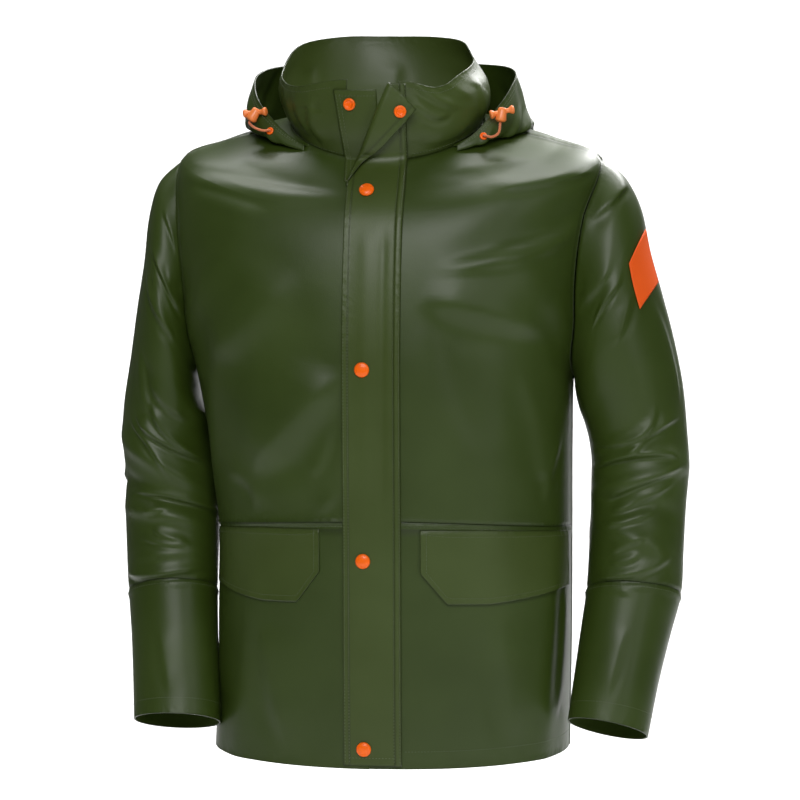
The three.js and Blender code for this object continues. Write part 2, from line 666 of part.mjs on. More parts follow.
SNAP_HEIGHTS.forEach((z, i) => {
  const spot = frontPoint(SNAP_X, z, placketLift(z) + (i ? SEAM_GAP : 3 * SEAM_GAP));
  add(`snap_cap_${i + 1}`, seated(DOME, spot), ORANGE, SHINY);
});
const cornerLift = placketLift(PLACKET_TOP) + 2 * BEND.radius + PLACKET_WALL;
const tabSpot = frontPoint(RING_ON_TAB.x, RING_ON_TAB.z, TAB_LIFT + SEAM_GAP);
const cornerSpot = frontPoint(RING_ON_CORNER.x, RING_ON_CORNER.z, cornerLift + 2 * SEAM_GAP);
add("snap_ring_tab", seated(RING, tabSpot), ORANGE, SHINY);
add("snap_ring_corner", seated(RING, cornerSpot), ORANGE, SHINY);

// Hood drawcord where it shows: an eyelet in the hood, a short cord and the lock that it runs into
const CORD_RADIUS = 1.5;
const EYELET = [[0, 0], [4.4, 0], [4.4, 0.9], [3.5, 1.6], [2.4, 1.4], [2, 0.9], [0, 0.9]];
const EYELET_FACE = 0.9;
const EYELET_GAP = 0.4;
const EYELET_SPOT = { right: { turn: 295, part: 2.4 }, left: { turn: 62, part: 2.35 } };
const LOCK_BODY = [[0, -8], [4.6, -8], [6.4, -6], [5.2, 5], [3.6, 8], [0, 8]];
const LOCK_BAR = [[0, -14], [4.2, -14], [5, -12.5], [4.2, -10], [2.8, -8], [2.8, 8], [4.2, 10], [5, 12.5], [4.2, 14], [0, 14]];
const LOCK = {
  right: { at: vec(-148, -46, 28), body: vec(0.5, 0.1, 0.86), bar: vec(1, -0.25, 0.1) },
  left: { at: vec(136, -57, 28), body: vec(0.15, 0.1, 0.98), bar: vec(1, 0.3, 0.25) },
};
const LOCK_BAR_UP = 3;
const CORD_ROUTE = {
  right: [vec(-134, -61, 10), vec(-145, -56, 13)],
  left: [vec(126, -66, 3), vec(133, -65, 7)],
};

function solid(geometry) {
  const bare = new THREE.BufferGeometry().setAttribute("position", geometry.toNonIndexed().getAttribute("position"));
  const merged = mergeVertices(bare, 1e-3);
  const triVerts = new Uint32Array(merged.index.array);
  return new wasm.Manifold(new wasm.Mesh({ numProp: 3, vertProperties: merged.attributes.position.array, triVerts }));
}

function joined(first, second) {
  const mesh = solid(first).add(solid(second)).getMesh();
  const geometry = new THREE.BufferGeometry();
  geometry.setAttribute("position", new THREE.BufferAttribute(mesh.vertProperties, mesh.numProp));
  geometry.setIndex(new THREE.BufferAttribute(mesh.triVerts, 1));
  geometry.computeVertexNormals();
  return geometry;
}

for (const hand of ["right", "left"]) {
  const { turn, part } = EYELET_SPOT[hand];
  const spot = hoodAt(turn, part);
  const eyelet = spot.p.clone().addScaledVector(spot.n, EYELET_GAP);
  add(`eyelet_${hand}`, seated(EYELET, { p: eyelet, n: spot.n }, 12), ORANGE, SHINY);

  const lock = LOCK[hand];
  const axis = lock.body.clone().normalize();
  const body = seated(LOCK_BODY, { p: lock.at, n: axis }, 10);
  const barSpot = { p: lock.at.clone().addScaledVector(axis, LOCK_BAR_UP), n: lock.bar.clone().normalize() };
  add(`cord_lock_${hand}`, joined(body, seated(LOCK_BAR, barSpot, 8)), ORANGE, SHINY);

  const root = eyelet.clone().addScaledVector(spot.n, EYELET_FACE + SEAM_GAP);
  const mouth = lock.at.clone().addScaledVector(axis, LOCK_BODY[0][1] - SEAM_GAP);
  const before = mouth.clone().addScaledVector(axis, -2);
  const route = [root, root.clone().addScaledVector(spot.n, 2), ...CORD_ROUTE[hand], before, mouth];
  const circle = new THREE.Shape().absarc(0, 0, CORD_RADIUS, 0, 2 * Math.PI, false);
  const path = new THREE.CatmullRomCurve3(route);
  const geometry = new THREE.ExtrudeGeometry(circle, { steps: 10, extrudePath: path, curveSegments: 4 });
  add(`hood_cord_${hand}`, geometry, ORANGE, DULL);
}

// Badge on the left sleeve, from the sleeve's own points
const BADGE_ANGLES = [54, 45, 36, 27, 18, 12];
const BADGE_RINGS = steps(2.45, 3.65, 5);
const BADGE_WALL = 1;
const badgeGrid = BADGE_ANGLES.map((phi) => BADGE_RINGS.map((at) => {
  const { p, n } = sleeveAt(1, phi, at);
  return { p: p.addScaledVector(n, LAY_GAP + BADGE_WALL), n };
}));
add("sleeve_badge", clothSolid(badgeGrid, { thick: BADGE_WALL }), BADGE, DULL);

export default coat;
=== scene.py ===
# %% [markdown]
# # A hooded rain jacket, filled out with no wearer
# The real coat is cut from coated olive cloth: two fronts, a back, sleeves in two lengths, a stand collar,
# a hood and a storm placket with orange snaps. Each cut piece becomes one thin shell with a wall of its own.
# Every panel is worked out from a few named sections in millimetres, the same ones that shaped the solids,
# so a finer grid and more creases can be laid over exactly the same form.

# %% Load the frame
import math

import bmesh
import bpy
import numpy as np
from mathutils import Matrix, Vector


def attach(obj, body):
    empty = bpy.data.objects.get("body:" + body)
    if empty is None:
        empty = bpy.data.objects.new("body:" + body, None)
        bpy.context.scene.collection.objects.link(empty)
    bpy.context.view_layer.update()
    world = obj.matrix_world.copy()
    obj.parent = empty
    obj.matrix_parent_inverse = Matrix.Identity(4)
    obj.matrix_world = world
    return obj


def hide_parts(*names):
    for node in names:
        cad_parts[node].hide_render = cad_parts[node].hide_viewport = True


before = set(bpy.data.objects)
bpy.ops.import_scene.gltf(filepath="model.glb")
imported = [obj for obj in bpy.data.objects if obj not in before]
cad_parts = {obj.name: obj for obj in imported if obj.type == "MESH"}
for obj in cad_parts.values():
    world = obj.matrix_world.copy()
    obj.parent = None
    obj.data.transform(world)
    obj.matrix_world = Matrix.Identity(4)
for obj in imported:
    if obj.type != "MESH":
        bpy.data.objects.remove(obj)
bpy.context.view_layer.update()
MM = 0.001
print("frame holds", len(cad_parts), "nodes")

# %% [markdown]
# ## Camera
# A long lens from 4.5 m keeps the coat as flat and undistorted as a catalogue picture does.
# It stands 7 degrees to the wearer's left of straight ahead and 4 degrees above the middle of the coat.

# %% Camera
VIEW_TARGET = Vector((0.0138, 0.0, -0.299))
VIEW_DISTANCE = 4.5
VIEW_AZIMUTH = math.radians(7)
VIEW_ELEVATION = math.radians(4)
LENS = 176.1


def place_camera():
    """Aims a camera at the middle of the coat."""
    data = bpy.data.cameras.new("camera")
    data.lens = LENS
    data.sensor_width = 36
    data.clip_end = 50
    camera = bpy.data.objects.new("camera", data)
    bpy.context.scene.collection.objects.link(camera)
    flat = math.cos(VIEW_ELEVATION)
    away = Vector((flat * math.sin(VIEW_AZIMUTH), -flat * math.cos(VIEW_AZIMUTH), math.sin(VIEW_ELEVATION)))
    camera.location = VIEW_TARGET + VIEW_DISTANCE * away
    camera.rotation_euler = (-away).to_track_quat("-Z", "Y").to_euler()
    bpy.context.scene.camera = camera
    return camera


camera = place_camera()
print("camera at", tuple(round(c, 3) for c in camera.location))

# %% [markdown]
# ## The coat's sections
# A pattern cutter thinks in rings: how wide and deep the coat is at the hem, the waist, the chest and the
# neck. Each table has one row for a ring, and a smooth curve runs through the rows.

# %% Sizes and tables
WALL = 1.6
LAY_GAP = 0.8
NECK = 11
RIM = 14
WAIST = 3
CENTRE_X = -2


def table(names, rows):
    """A dictionary of columns from rows of numbers."""
    return dict(zip(names.split(), np.array(rows, dtype=float).T))


BODY = table("front side back half shift deep rear square", [
    (-703, -695, -690, 204, 6, 150, 140, 2.25),
    (-640, -628, -628, 203, 8, 154, 142, 2.25),
    (-536, -540, -540, 202, 10, 157, 142, 2.25),
    (-424, -440, -437, 202, 10, 160, 140, 2.25),
    (-330, -338, -333, 208, 4, 164, 139, 2.3),
    (-248, -264, -252, 216, -2, 166, 139, 2.3),
    (-178, -168, -172, 231, -5, 162, 139, 2.3),
    (-120, -86, -104, 240, -4, 152, 132, 2.25),
    (-82, -23, -50, 241, 4, 138, 119, 2.1),
    (-57, -2, -2, 191, 3, 120, 106, 2.05),
    (-39, 9, 22, 147, 1, 105, 96, 2),
    (-24, 18, 38, 108, 0, 92, 88, 2),
])
COLLAR = table("half shift deep rear square", [
    (108, 0, 92, 88, 2),
    (118, -1, 104, 97, 2),
    (119, -5, 110, 104, 2),
    (110, -12, 112, 107, 2.1),
])
COLLAR_RIM = table("turn height", [
    (-180, 120), (-150, 119), (-118, 108), (-90, 80), (-65, 65), (-45, 60), (-22, 66), (0, 68),
    (25, 65), (44, 59), (65, 75), (90, 88), (108, 97), (123, 112), (150, 119), (180, 120),
])
ARMHOLE_MIDDLE = 6.5
ARMHOLE_REACH = 1.5
ARMHOLE_OPEN = 20

# %% [markdown]
# Two smooth curves read the tables. One runs through rows by their number,
# the other through rows that stand at uneven places, such as the collar's rim round the neck.

# %% Reading the tables
def column(rows, name, at):
    """Smooth value of a column at a row number that may lie between rows."""
    values = rows[name]
    last = len(values) - 1
    i = np.clip(np.floor(at).astype(int), 0, last - 1)
    f = at - i
    a, b, c, d = (values[np.clip(i + k, 0, last)] for k in (-1, 0, 1, 2))
    return b + 0.5 * f * (c - a + f * (2 * a - 5 * b + 4 * c - d + f * (3 * (b - c) + d - a)))


def along(rows, key, name, at):
    """Smooth value of one column against another that rises down the table."""
    keys, values = rows[key], rows[name]
    last = len(keys) - 1
    low = np.maximum(np.arange(last + 1) - 1, 0)
    high = np.minimum(np.arange(last + 1) + 1, last)
    slope = (values[high] - values[low]) / (keys[high] - keys[low])
    k = np.clip(np.searchsorted(keys, at, side="right") - 1, 0, last - 1)
    span = keys[k + 1] - keys[k]
    f = np.clip((at - keys[k]) / span, 0, 1)
    bend = f * (1 - f) * span * ((1 - f) * slope[k] - f * slope[k + 1])
    return values[k] + (values[k + 1] - values[k]) * f * f * (3 - 2 * f) + bend


def ramp(start, end, at):
    """Eases from 0 to 1 between two values."""
    f = np.clip((at - start) / (end - start), 0, 1)
    return f * f * (3 - 2 * f)


def around(turn):
    """A turn brought to between -180 and 180 degrees."""
    return (turn + 180) % 360 - 180


def unit(v):
    """Vectors brought to length one."""
    return v / np.maximum(np.linalg.norm(v, axis=-1, keepdims=True), 1e-9)


def vec(x, y, z):
    """Three arrays stacked as vectors."""
    return np.stack(np.broadcast_arrays(x, y, z), axis=-1).astype(float)


print("collar back is", along(COLLAR_RIM, "turn", "height", np.array(180.0)), "mm high")

# %% [markdown]
# ## Creases
# Coated cloth does not crumple finely. It bends in a few soft ridges that start where the cloth is pulled:
# at the armholes, the elbows and the neck. Each one is listed in a table. On the trunk, the collar and the
# sleeves it is drawn through three points, with a gentle slope above, a steep face and a shallow dent below.
# On the hood it has a middle, a slant and a bow that curves it.

# %% Creases
FOLD_COLUMNS = "turn z slant long wide high"
DRAWN_COLUMNS = "a1 b1 a2 b2 a3 b3 wide high"
BODY_ROUND = 190
SLEEVE_ROUND = 55
RING_STEP = 44
BODY_FOLDS = table(FOLD_COLUMNS, [
    (52, -165, -38, 95, 20, 4),
    (66, -230, -30, 80, 18, -3),
    (-56, -175, 40, 95, 20, 4),
    (-64, -330, 62, 110, 20, 3),
    (60, -600, 86, 120, 24, 4),
    (-48, -610, 84, 120, 22, 3),
    (150, -180, 50, 100, 22, 4),
    (-150, -190, -50, 100, 22, 4),
    (160, -520, 88, 150, 26, 4),
    (-158, -560, 92, 130, 26, 4),
    (118, -420, 70, 100, 22, 3),
])
BODY_CREASES = table(DRAWN_COLUMNS, [
    (-72, -30, -38, -46, -9, -61, 8, -4.5),
    (-62, -52, -43, -62, -26, -84, 9, -2.4),
    (77, -34, 51, -44, 32, -58, 6, 3.4),
    (70, -20, 48, -24, 24, -40, 8, 2.6),
    (72, -78, 44, -108, 18, -136, 13, -5.5),
    (68, -104, 42, -128, 16, -146, 10, 3),
    (64, -222, 34, -190, 14, -172, 19, 6.5),
    (20, -190, 27, -270, 34, -362, 24, -3),
    (46, -250, 56, -320, 58, -400, 18, 2.6),
    (-9, -250, -24, -312, -46, -378, 22, 8),
    (-20, -140, -36, -200, -60, -250, 28, 5),
    (-12, -315, -17, -355, -21, -376, 6, 2),
    (-12, -388, -16, -405, -20, -418, 5, 1.8),
    (-62, -378, -45, -384, -44, -422, 8, 2.4),
    (72, -330, 62, -370, 60, -416, 10, 2),
    (-74, -470, -72, -560, -66, -650, 12, 2.6),
    (-40, -540, -36, -610, -28, -690, 15, 2.2),
    (74, -480, 72, -580, 66, -660, 12, 2.6),
    (36, -530, 42, -600, 44, -690, 16, 2.4),
    (110, -120, 136, -170, 160, -196, 13, 4.5),
    (-110, -125, -138, -180, -164, -210, 13, 4.5),
    (112, -200, 128, -280, 140, -350, 14, 3.5),
    (-108, -210, -126, -270, -132, -360, 14, 3.2),
    (126, -48, 150, -72, 178, -84, 9, 3),
    (-124, -52, -148, -84, -170, -120, 9, 2.6),
    (150, -300, 176, -330, -160, -310, 18, 3),
    (140, -440, 146, -540, 138, -650, 16, 3.2),
    (-140, -460, -148, -560, -146, -670, 15, 3),
    (176, -480, -178, -570, -172, -680, 18, 2.6),
])
COLLAR_CREASES = table(DRAWN_COLUMNS, [
    (20, 54, 33, 26, 46, 36, 4, 2.8),
    (26, 72, 38, 46, 53, 34, 5, 2.6),
    (24, -6, 46, 4, 62, 26, 7, 2.8),
    (40, 84, 50, 60, 66, 46, 6, 2),
    (-33, 52, -39, 18, -30, -10, 5, 2.6),
    (-50, 60, -48, 24, -40, 2, 6, 2.4),
    (-66, 66, -60, 34, -58, 10, 7, 2),
    (80, 74, 74, 44, 78, 16, 7, 2.2),
    (-92, 80, -88, 50, -94, 26, 8, 2),
    (-132, 88, -126, 60, -130, 34, 8, 2),
    (138, 86, 144, 58, 140, 32, 8, 2),
    (176, 92, -178, 64, 178, 40, 9, 1.8),
])


def fold_height(folds, turn, z, radius):
    """Height of the largest folds, which the solids have too."""
    total = 0
    for k in range(len(folds["turn"])):
        slant = math.radians(folds["slant"][k])
        side = np.radians(around(turn - folds["turn"][k])) * radius
        up = z - folds["z"][k]
        length = (side * math.cos(slant) + up * math.sin(slant)) / folds["long"][k]
        across = (up * math.cos(slant) - side * math.sin(slant)) / folds["wide"][k]
        total = total + folds["high"][k] * np.exp(-length ** 4 - across ** 2)
    return total


def crease_height(creases, turn, z, radius):
    """Height of the smaller creases: a ridge between two shallow dents, bowed along its length."""
    total = 0
    for k in range(len(creases["turn"])):
        slant = math.radians(creases["slant"][k])
        side = np.radians(around(turn - creases["turn"][k])) * radius
        up = z - creases["z"][k]
        length = (side * math.cos(slant) + up * math.sin(slant)) / creases["long"][k]
        across = (up * math.cos(slant) - side * math.sin(slant)) / creases["wide"][k]
        across = across - creases["bow"][k] * length ** 2
        ridge = np.exp(-across ** 2) - 0.4 * np.exp(-((np.abs(across) - 1.9) / 0.9) ** 2)
        total = total + creases["high"][k] * ridge * np.exp(-length ** 4)
    return total


def nearest_on(line, side, up):
    """Signed distance from a bent line of points, plus above it, and how far along it from 0 to 1."""
    best = np.full(side.shape, 1e9)
    signed, share = np.zeros(side.shape), np.zeros(side.shape)
    for k in range(len(line) - 1):
        (x, y), (u, v) = line[k], line[k + 1] - line[k]
        f = ((side - x) * u + (up - y) * v) / (u * u + v * v)
        held = np.clip(f, 0, 1)
        away = np.hypot(side - x - held * u, up - y - held * v)
        over = np.sign((up - y) * u - (side - x) * v) * np.sign(u if abs(u) > 0.3 * abs(v) else 1)
        closer = away < best
        best = np.where(closer, away, best)
        signed = np.where(closer, away * over, signed)
        share = np.where(closer, (k + held) / (len(line) - 1), share)
    return signed, share


def drawn_height(creases, turn, z, radius):
    """Height of creases drawn through three points: a slope above, a steep face and a dent below."""
    total = np.zeros(np.broadcast(turn, z).shape)
    for k in range(len(creases["a1"])):
        row = {name: values[k] for name, values in creases.items()}
        bends = np.linspace(0, 1, 9)[:, None]
        a = np.array([0, around(row["a2"] - row["a1"]), 0])
        a[2] = a[1] + around(row["a3"] - row["a2"])
        points = np.stack([np.radians(a) * radius, [row["b1"], row["b2"], row["b3"]]], axis=1)
        middle = 2 * points[1] - (points[0] + points[2]) / 2
        line = (1 - bends) ** 2 * points[0] + 2 * bends * (1 - bends) * middle + bends ** 2 * points[2]
        centre = row["a1"] + a[1]
        side = np.radians(around(turn - centre) + a[1]) * radius
        d, share = nearest_on(line, side, z + np.zeros_like(total))
        wide = row["wide"] * (0.55 + 0.45 * np.sin(np.pi * share))
        slope = np.exp(-np.abs(d / (2.1 * wide)) ** 1.6)
        steep = np.exp(-(d / (0.75 * wide)) ** 2)
        dent = np.exp(-((d + 1.5 * wide) / (0.9 * wide)) ** 2)
        fade = ramp(0, 0.3, share) * ramp(0, 0.3, 1 - share)
        total = total + row["high"] * fade * (np.where(d > 0, slope, steep) - 0.35 * dent)
    return total


print(len(BODY_CREASES["a1"]), "creases on the body,", len(COLLAR_CREASES["a1"]), "on the collar")

# %% [markdown]
# ## The shell
# The trunk of the coat is a stack of rounded rectangles, a little squarer than an ellipse.
# A turn of 0 degrees is the front and 90 is the wearer's left. Past the neck seam the same function makes
# the collar.

# %% The shell
def section(rows, turn, at):
    """X and Y of a ring."""
    s, c = np.sin(np.radians(turn)), np.cos(np.radians(turn))
    n = column(rows, "square", at)
    k = (np.abs(s) ** n + np.abs(c) ** n) ** (-1 / n)
    deep, rear = column(rows, "deep", at), column(rows, "rear", at)
    depth = (deep + rear) / 2 + (deep - rear) / 2 * np.tanh(4 * c)
    return column(rows, "shift", at) + column(rows, "half", at) * k * s, -depth * k * c


def height(turn, rise):
    """Height of the shell at a turn and a row."""
    low = np.minimum(rise, NECK)
    front, side, back = (column(BODY, name, low) for name in ("front", "side", "back"))
    middle = (front + back) / 2
    z = (middle + side) / 2 + (front - back) / 2 * np.cos(np.radians(turn))
    z = z + (middle - side) / 2 * np.cos(2 * np.radians(turn))
    rim = along(COLLAR_RIM, "turn", "height", around(turn))
    return z + (rim - z) * np.maximum(rise - NECK, 0) / (RIM - NECK)


def shell(turn, rise, fine=True):
    """Points of the body or, past the neck seam, of the collar."""
    turn, rise = np.broadcast_arrays(np.asarray(turn, float), np.asarray(rise, float))
    z = height(turn, rise)
    x, y = section(BODY, turn, np.minimum(rise, NECK))
    collar_x, collar_y = section(COLLAR, turn, np.maximum(rise - NECK, 0))
    swell = fold_height(BODY_FOLDS, turn, z, BODY_ROUND)
    if fine:
        swell = swell + drawn_height(BODY_CREASES, turn, z, BODY_ROUND) * ramp(0, 1, NECK - rise)
    collar_swell = drawn_height(COLLAR_CREASES, turn, z, 105) if fine else 0
    collar_swell = collar_swell * ramp(0, 0.5, rise - NECK)
    on_body = rise <= NECK
    swell = np.where(on_body, swell, collar_swell)
    s, c = np.sin(np.radians(turn)), np.cos(np.radians(turn))
    return vec(np.where(on_body, x, collar_x) + swell * s, np.where(on_body, y, collar_y) - swell * c, z)


def normals_of(surface, a, b, step_a, step_b):
    """Outward normals of a surface from small steps along it."""
    across = surface(a + step_a, b) - surface(a - step_a, b)
    up = surface(a, b + step_b) - surface(a, b - step_b)
    return unit(np.cross(across, up))


def shell_normal(turn, rise, fine=True):
    """Normals of the shell, with the small steps kept on one side of the neck seam."""
    inside = np.where(rise <= NECK, np.minimum(rise, NECK - 0.03), np.maximum(rise, NECK + 0.03))
    return normals_of(lambda a, b: shell(a, b, fine), turn, np.maximum(inside, 0), 0.5, 0.02)


def turn_at(x, rise):
    """The turn at which the front of the shell has the given X."""
    rise = np.asarray(rise, float)
    at = np.where(rise > NECK, rise - NECK, rise)
    shift = np.where(rise > NECK, column(COLLAR, "shift", at), column(BODY, "shift", at))
    half = np.where(rise > NECK, column(COLLAR, "half", at), column(BODY, "half", at))
    return np.degrees(np.arctan2(x - shift, half))


def rise_at(z, top, turn_of):
    """The row below a top row where the shell reaches a height, given the turn for each row."""
    low, high = np.zeros_like(z), np.full_like(z, float(top))
    for _ in range(24):
        middle = (low + high) / 2
        under = height(turn_of(middle), middle) < z
        low, high = np.where(under, middle, low), np.where(under, high, middle)
    return (low + high) / 2


print("hem half width", column(BODY, "half", np.array(0.0)), "mm")

# %% [markdown]
# ## Turning a grid of points into cloth
# One helper makes every piece. It takes the outer face as a grid, sinks the edges that are sewn,
# adds the inner face one wall below, and closes the rims. The inner face gets a second material, the knit
# backing. Three numbers are stored on each point: how near it is to a seam, to a free edge and to a line of
# topstitching. The coated cloth's finishes darken the colour by them as painted shade.

# %% Cloth from a grid
SEAM_DIP = 1.1
SEAM_WIDE = 3.0
SEAM_REACH = 9.0
WELT_WIDE = 7.5
WELT_LIFT = 0.8
pieces = {}


def edge_distance(points, edges, closed):
    """Distance of every grid point from the nearest of the named edges, in millimetres."""
    columns, rows = points.shape[:2]
    away = np.full((columns, rows), 1e6)
    down = np.linalg.norm(np.diff(points, axis=1), axis=2).cumsum(axis=1)
    down = np.concatenate([np.zeros((columns, 1)), down], axis=1)
    if "low" in edges:
        away = np.minimum(away, down)
    if "high" in edges:
        away = np.minimum(away, down[:, -1:] - down)
    if not closed:
        over = np.linalg.norm(np.diff(points, axis=0), axis=2).cumsum(axis=0)
        over = np.concatenate([np.zeros((1, rows)), over], axis=0)
        if "first" in edges:
            away = np.minimum(away, over)
        if "last" in edges:
            away = np.minimum(away, over[-1:, :] - over)
    return away


def grid_normals(points, closed):
    """Outward normals of a grid, from its neighbours."""
    if closed:
        across = np.roll(points, -1, axis=0) - np.roll(points, 1, axis=0)
    else:
        across = np.gradient(points, axis=0)
    return unit(np.cross(across, np.gradient(points, axis=1)))


def grid_faces(columns, rows, closed):
    """Quads of the outer face, the inner face and the rims, with a flag for the inner ones."""
    spans = columns if closed else columns - 1
    i, j = np.meshgrid(np.arange(spans), np.arange(rows - 1), indexing="ij")
    n = (i + 1) % columns
    quads = np.stack([i * rows + j, n * rows + j, n * rows + j + 1, i * rows + j + 1], axis=-1).reshape(-1, 4)
    count = columns * rows
    inner = quads[:, ::-1] + count
    rims = []
    a = np.arange(spans)
    b = (a + 1) % columns
    rims.append(np.stack([b * rows, a * rows, count + a * rows, count + b * rows], axis=-1))
    top = rows - 1
    near, far = a * rows + top, b * rows + top
    rims.append(np.stack([near, far, count + far, count + near], axis=-1))
    if not closed:
        r = np.arange(rows - 1)
        end = (columns - 1) * rows
        rims.append(np.stack([r, r + 1, count + r + 1, count + r], axis=-1))
        rims.append(np.stack([end + r + 1, end + r, count + end + r, count + end + r + 1], axis=-1))
    faces = np.concatenate([quads, inner, *rims])
    lined = np.zeros(len(faces), dtype=int)
    lined[len(quads):2 * len(quads)] = 1
    return faces, lined


def own_name(name):
    """A piece's name, a little longer where a solid already has it."""
    return name + "_piece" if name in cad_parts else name


def make_mesh(name, points, faces, flags=None):
    """A mesh object at the origin from points in millimetres."""
    mesh = bpy.data.meshes.new(name)
    mesh.from_pydata((np.asarray(points) * MM).tolist(), [], [list(face) for face in faces])
    mesh.polygons.foreach_set("use_smooth", [True] * len(mesh.polygons))
    if flags is not None:
        mesh.polygons.foreach_set("material_index", flags)
    mesh.update()
    thing = bpy.data.objects.new(own_name(name), mesh)
    bpy.context.scene.collection.objects.link(thing)
    return thing


def store(thing, name, values):
    """One number for each point, for the materials to read."""
    layer = thing.data.attributes.new(name, "FLOAT", "POINT")
    layer.data.foreach_set("value", np.asarray(values, dtype=np.float32).ravel())


def cloth(name, points, sewn=(), free=(), welt=(), line=None, closed=False, thick=WALL, ways=None,
          normals=None):
    """A cloth piece: points is a grid of columns and rows. ways says where the inner face lies.
    Beside a welt edge the seam allowance behind lifts the cloth in a narrow band.
    line marks thin lines of painted shade, beside a welt edge unless given."""
    n = grid_normals(points, closed) if normals is None else normals
    seam = edge_distance(points, sewn, closed)
    edge = edge_distance(points, free, closed)
    welt_away = edge_distance(points, welt, closed)
    lift = WELT_LIFT * ramp(WELT_WIDE + 1.5, WELT_WIDE, welt_away)
    line = np.exp(-((welt_away - WELT_WIDE - 1) / 1.2) ** 2) if line is None else line
    outer = points + n * (lift - SEAM_DIP * np.exp(-(seam / SEAM_WIDE) ** 2))[..., None]
    inner = outer - n * thick if ways is None else outer + ways * thick
    columns, rows = points.shape[:2]
    faces, lined = grid_faces(columns, rows, closed)
    thing = make_mesh(name, np.concatenate([outer.reshape(-1, 3), inner.reshape(-1, 3)]), faces, lined)
    # These three numbers become painted shade in the coated cloth's colour: in seam grooves, at free edges
    # and along line.
    store(thing, "seam", np.tile(np.exp(-seam / SEAM_REACH).ravel(), 2))
    store(thing, "edge", np.tile(np.exp(-edge / SEAM_REACH).ravel(), 2))
    store(thing, "line", np.tile(line.ravel(), 2))
    bm = bmesh.new()
    bm.from_mesh(thing.data)
    if bm.calc_volume(signed=True) < 0:
        bmesh.ops.reverse_faces(bm, faces=bm.faces)
        bm.to_mesh(thing.data)
    bm.free()
    pieces[name] = thing
    wide = np.linalg.norm(np.diff(points, axis=0), axis=2).sum(axis=0)
    long = np.linalg.norm(np.diff(points, axis=1), axis=2).sum(axis=1)
    print("%s: up to %.0f mm wide (mean %.0f) and %.0f mm long (mean %.0f)" % (
        name, wide.max(), wide.mean(), long.max(), long.mean()))
    return thing


def spread(count, near=0.0035):
    """Even steps from 0 to 1 with more lines close to each end, for the sunk seams and the welts."""
    close = np.array([0, 1, 2.1, 3.5, 4.9, 6.2, 7.6]) * near
    middle = np.linspace(0, 1, count + 1)
    middle = middle[(middle > close[-1] * 1.4) & (middle < 1 - close[-1] * 1.4)]
    return np.concatenate([close, middle, 1 - close[::-1]])


print("cloth wall", WALL, "mm, seams sink", SEAM_DIP, "mm")

# %% [markdown]
# ## Fronts and back
# The coat has a seam all round just above the pockets, so each front is cut in two, and the back runs
# from the hem to the neck in one. Beside the armhole the panels are cut away along a half ellipse.

# %% Trunk panels
PHI_STEPS = 96
NEAR_LINES = 7


def armhole_cut(rise):
    """How far the armhole cuts into the panels at a row, in degrees from the side."""
    h = np.clip((rise - ARMHOLE_MIDDLE) / ARMHOLE_REACH, -1, 1)
    return ARMHOLE_OPEN * np.sqrt(1 - h * h)


def front_grid(side, rises, shares):
    """Points of a front panel. The columns run from the centre to the side seam."""
    start = turn_at(CENTRE_X, rises)
    end = side * (90 - armhole_cut(rises))
    turns = start[None, :] + (end - start)[None, :] * shares[:, None]
    return shell(turns, np.broadcast_to(rises, turns.shape))


def back_grid(rises, shares):
    """Points of the back panel, from the wearer's left round to the right."""
    cut = armhole_cut(rises)
    turns = 90 + cut[None, :] + (180 - 2 * cut)[None, :] * shares[:, None]
    return shell(turns, np.broadcast_to(rises, turns.shape))


arm_rows = ARMHOLE_MIDDLE - ARMHOLE_REACH * np.cos(np.linspace(0, math.pi, PHI_STEPS // 2 + 1))
lower_rows = WAIST * spread(56)
side_rows = WAIST + (arm_rows[0] - WAIST) * spread(34)[:-NEAR_LINES]
top_rows = arm_rows[-1] + (NECK - arm_rows[-1]) * spread(38)[NEAR_LINES:]
upper_rows = np.concatenate([side_rows, arm_rows, top_rows])
trunk_rows = np.concatenate([lower_rows[:-1], upper_rows])
for side, hand in ((-1, "right"), (1, "left")):
    lower = front_grid(side, lower_rows, spread(70))
    upper = front_grid(side, upper_rows, spread(70))
    cloth("front_lower_" + hand, lower, sewn=("last", "high"), free=("low",), welt=("high",))
    cloth("front_upper_" + hand, upper, sewn=("last", "high", "low"), welt=("last",))
cloth("back", back_grid(trunk_rows, spread(110)), sewn=("first", "last", "high"), free=("low",),
      welt=("first", "last"))
print("trunk rows", len(trunk_rows))

# %% [markdown]
# ## Sleeves
# A sleeve is a tube through fourteen rings. The outer and inner line of each ring come from the coat's
# outline, and the forearm comes forwards a little, as an arm does. The elbows carry the deepest folds of the
# whole coat: the cloth there is pushed together, so several ridges cross the tube at a slant, one above
# another.

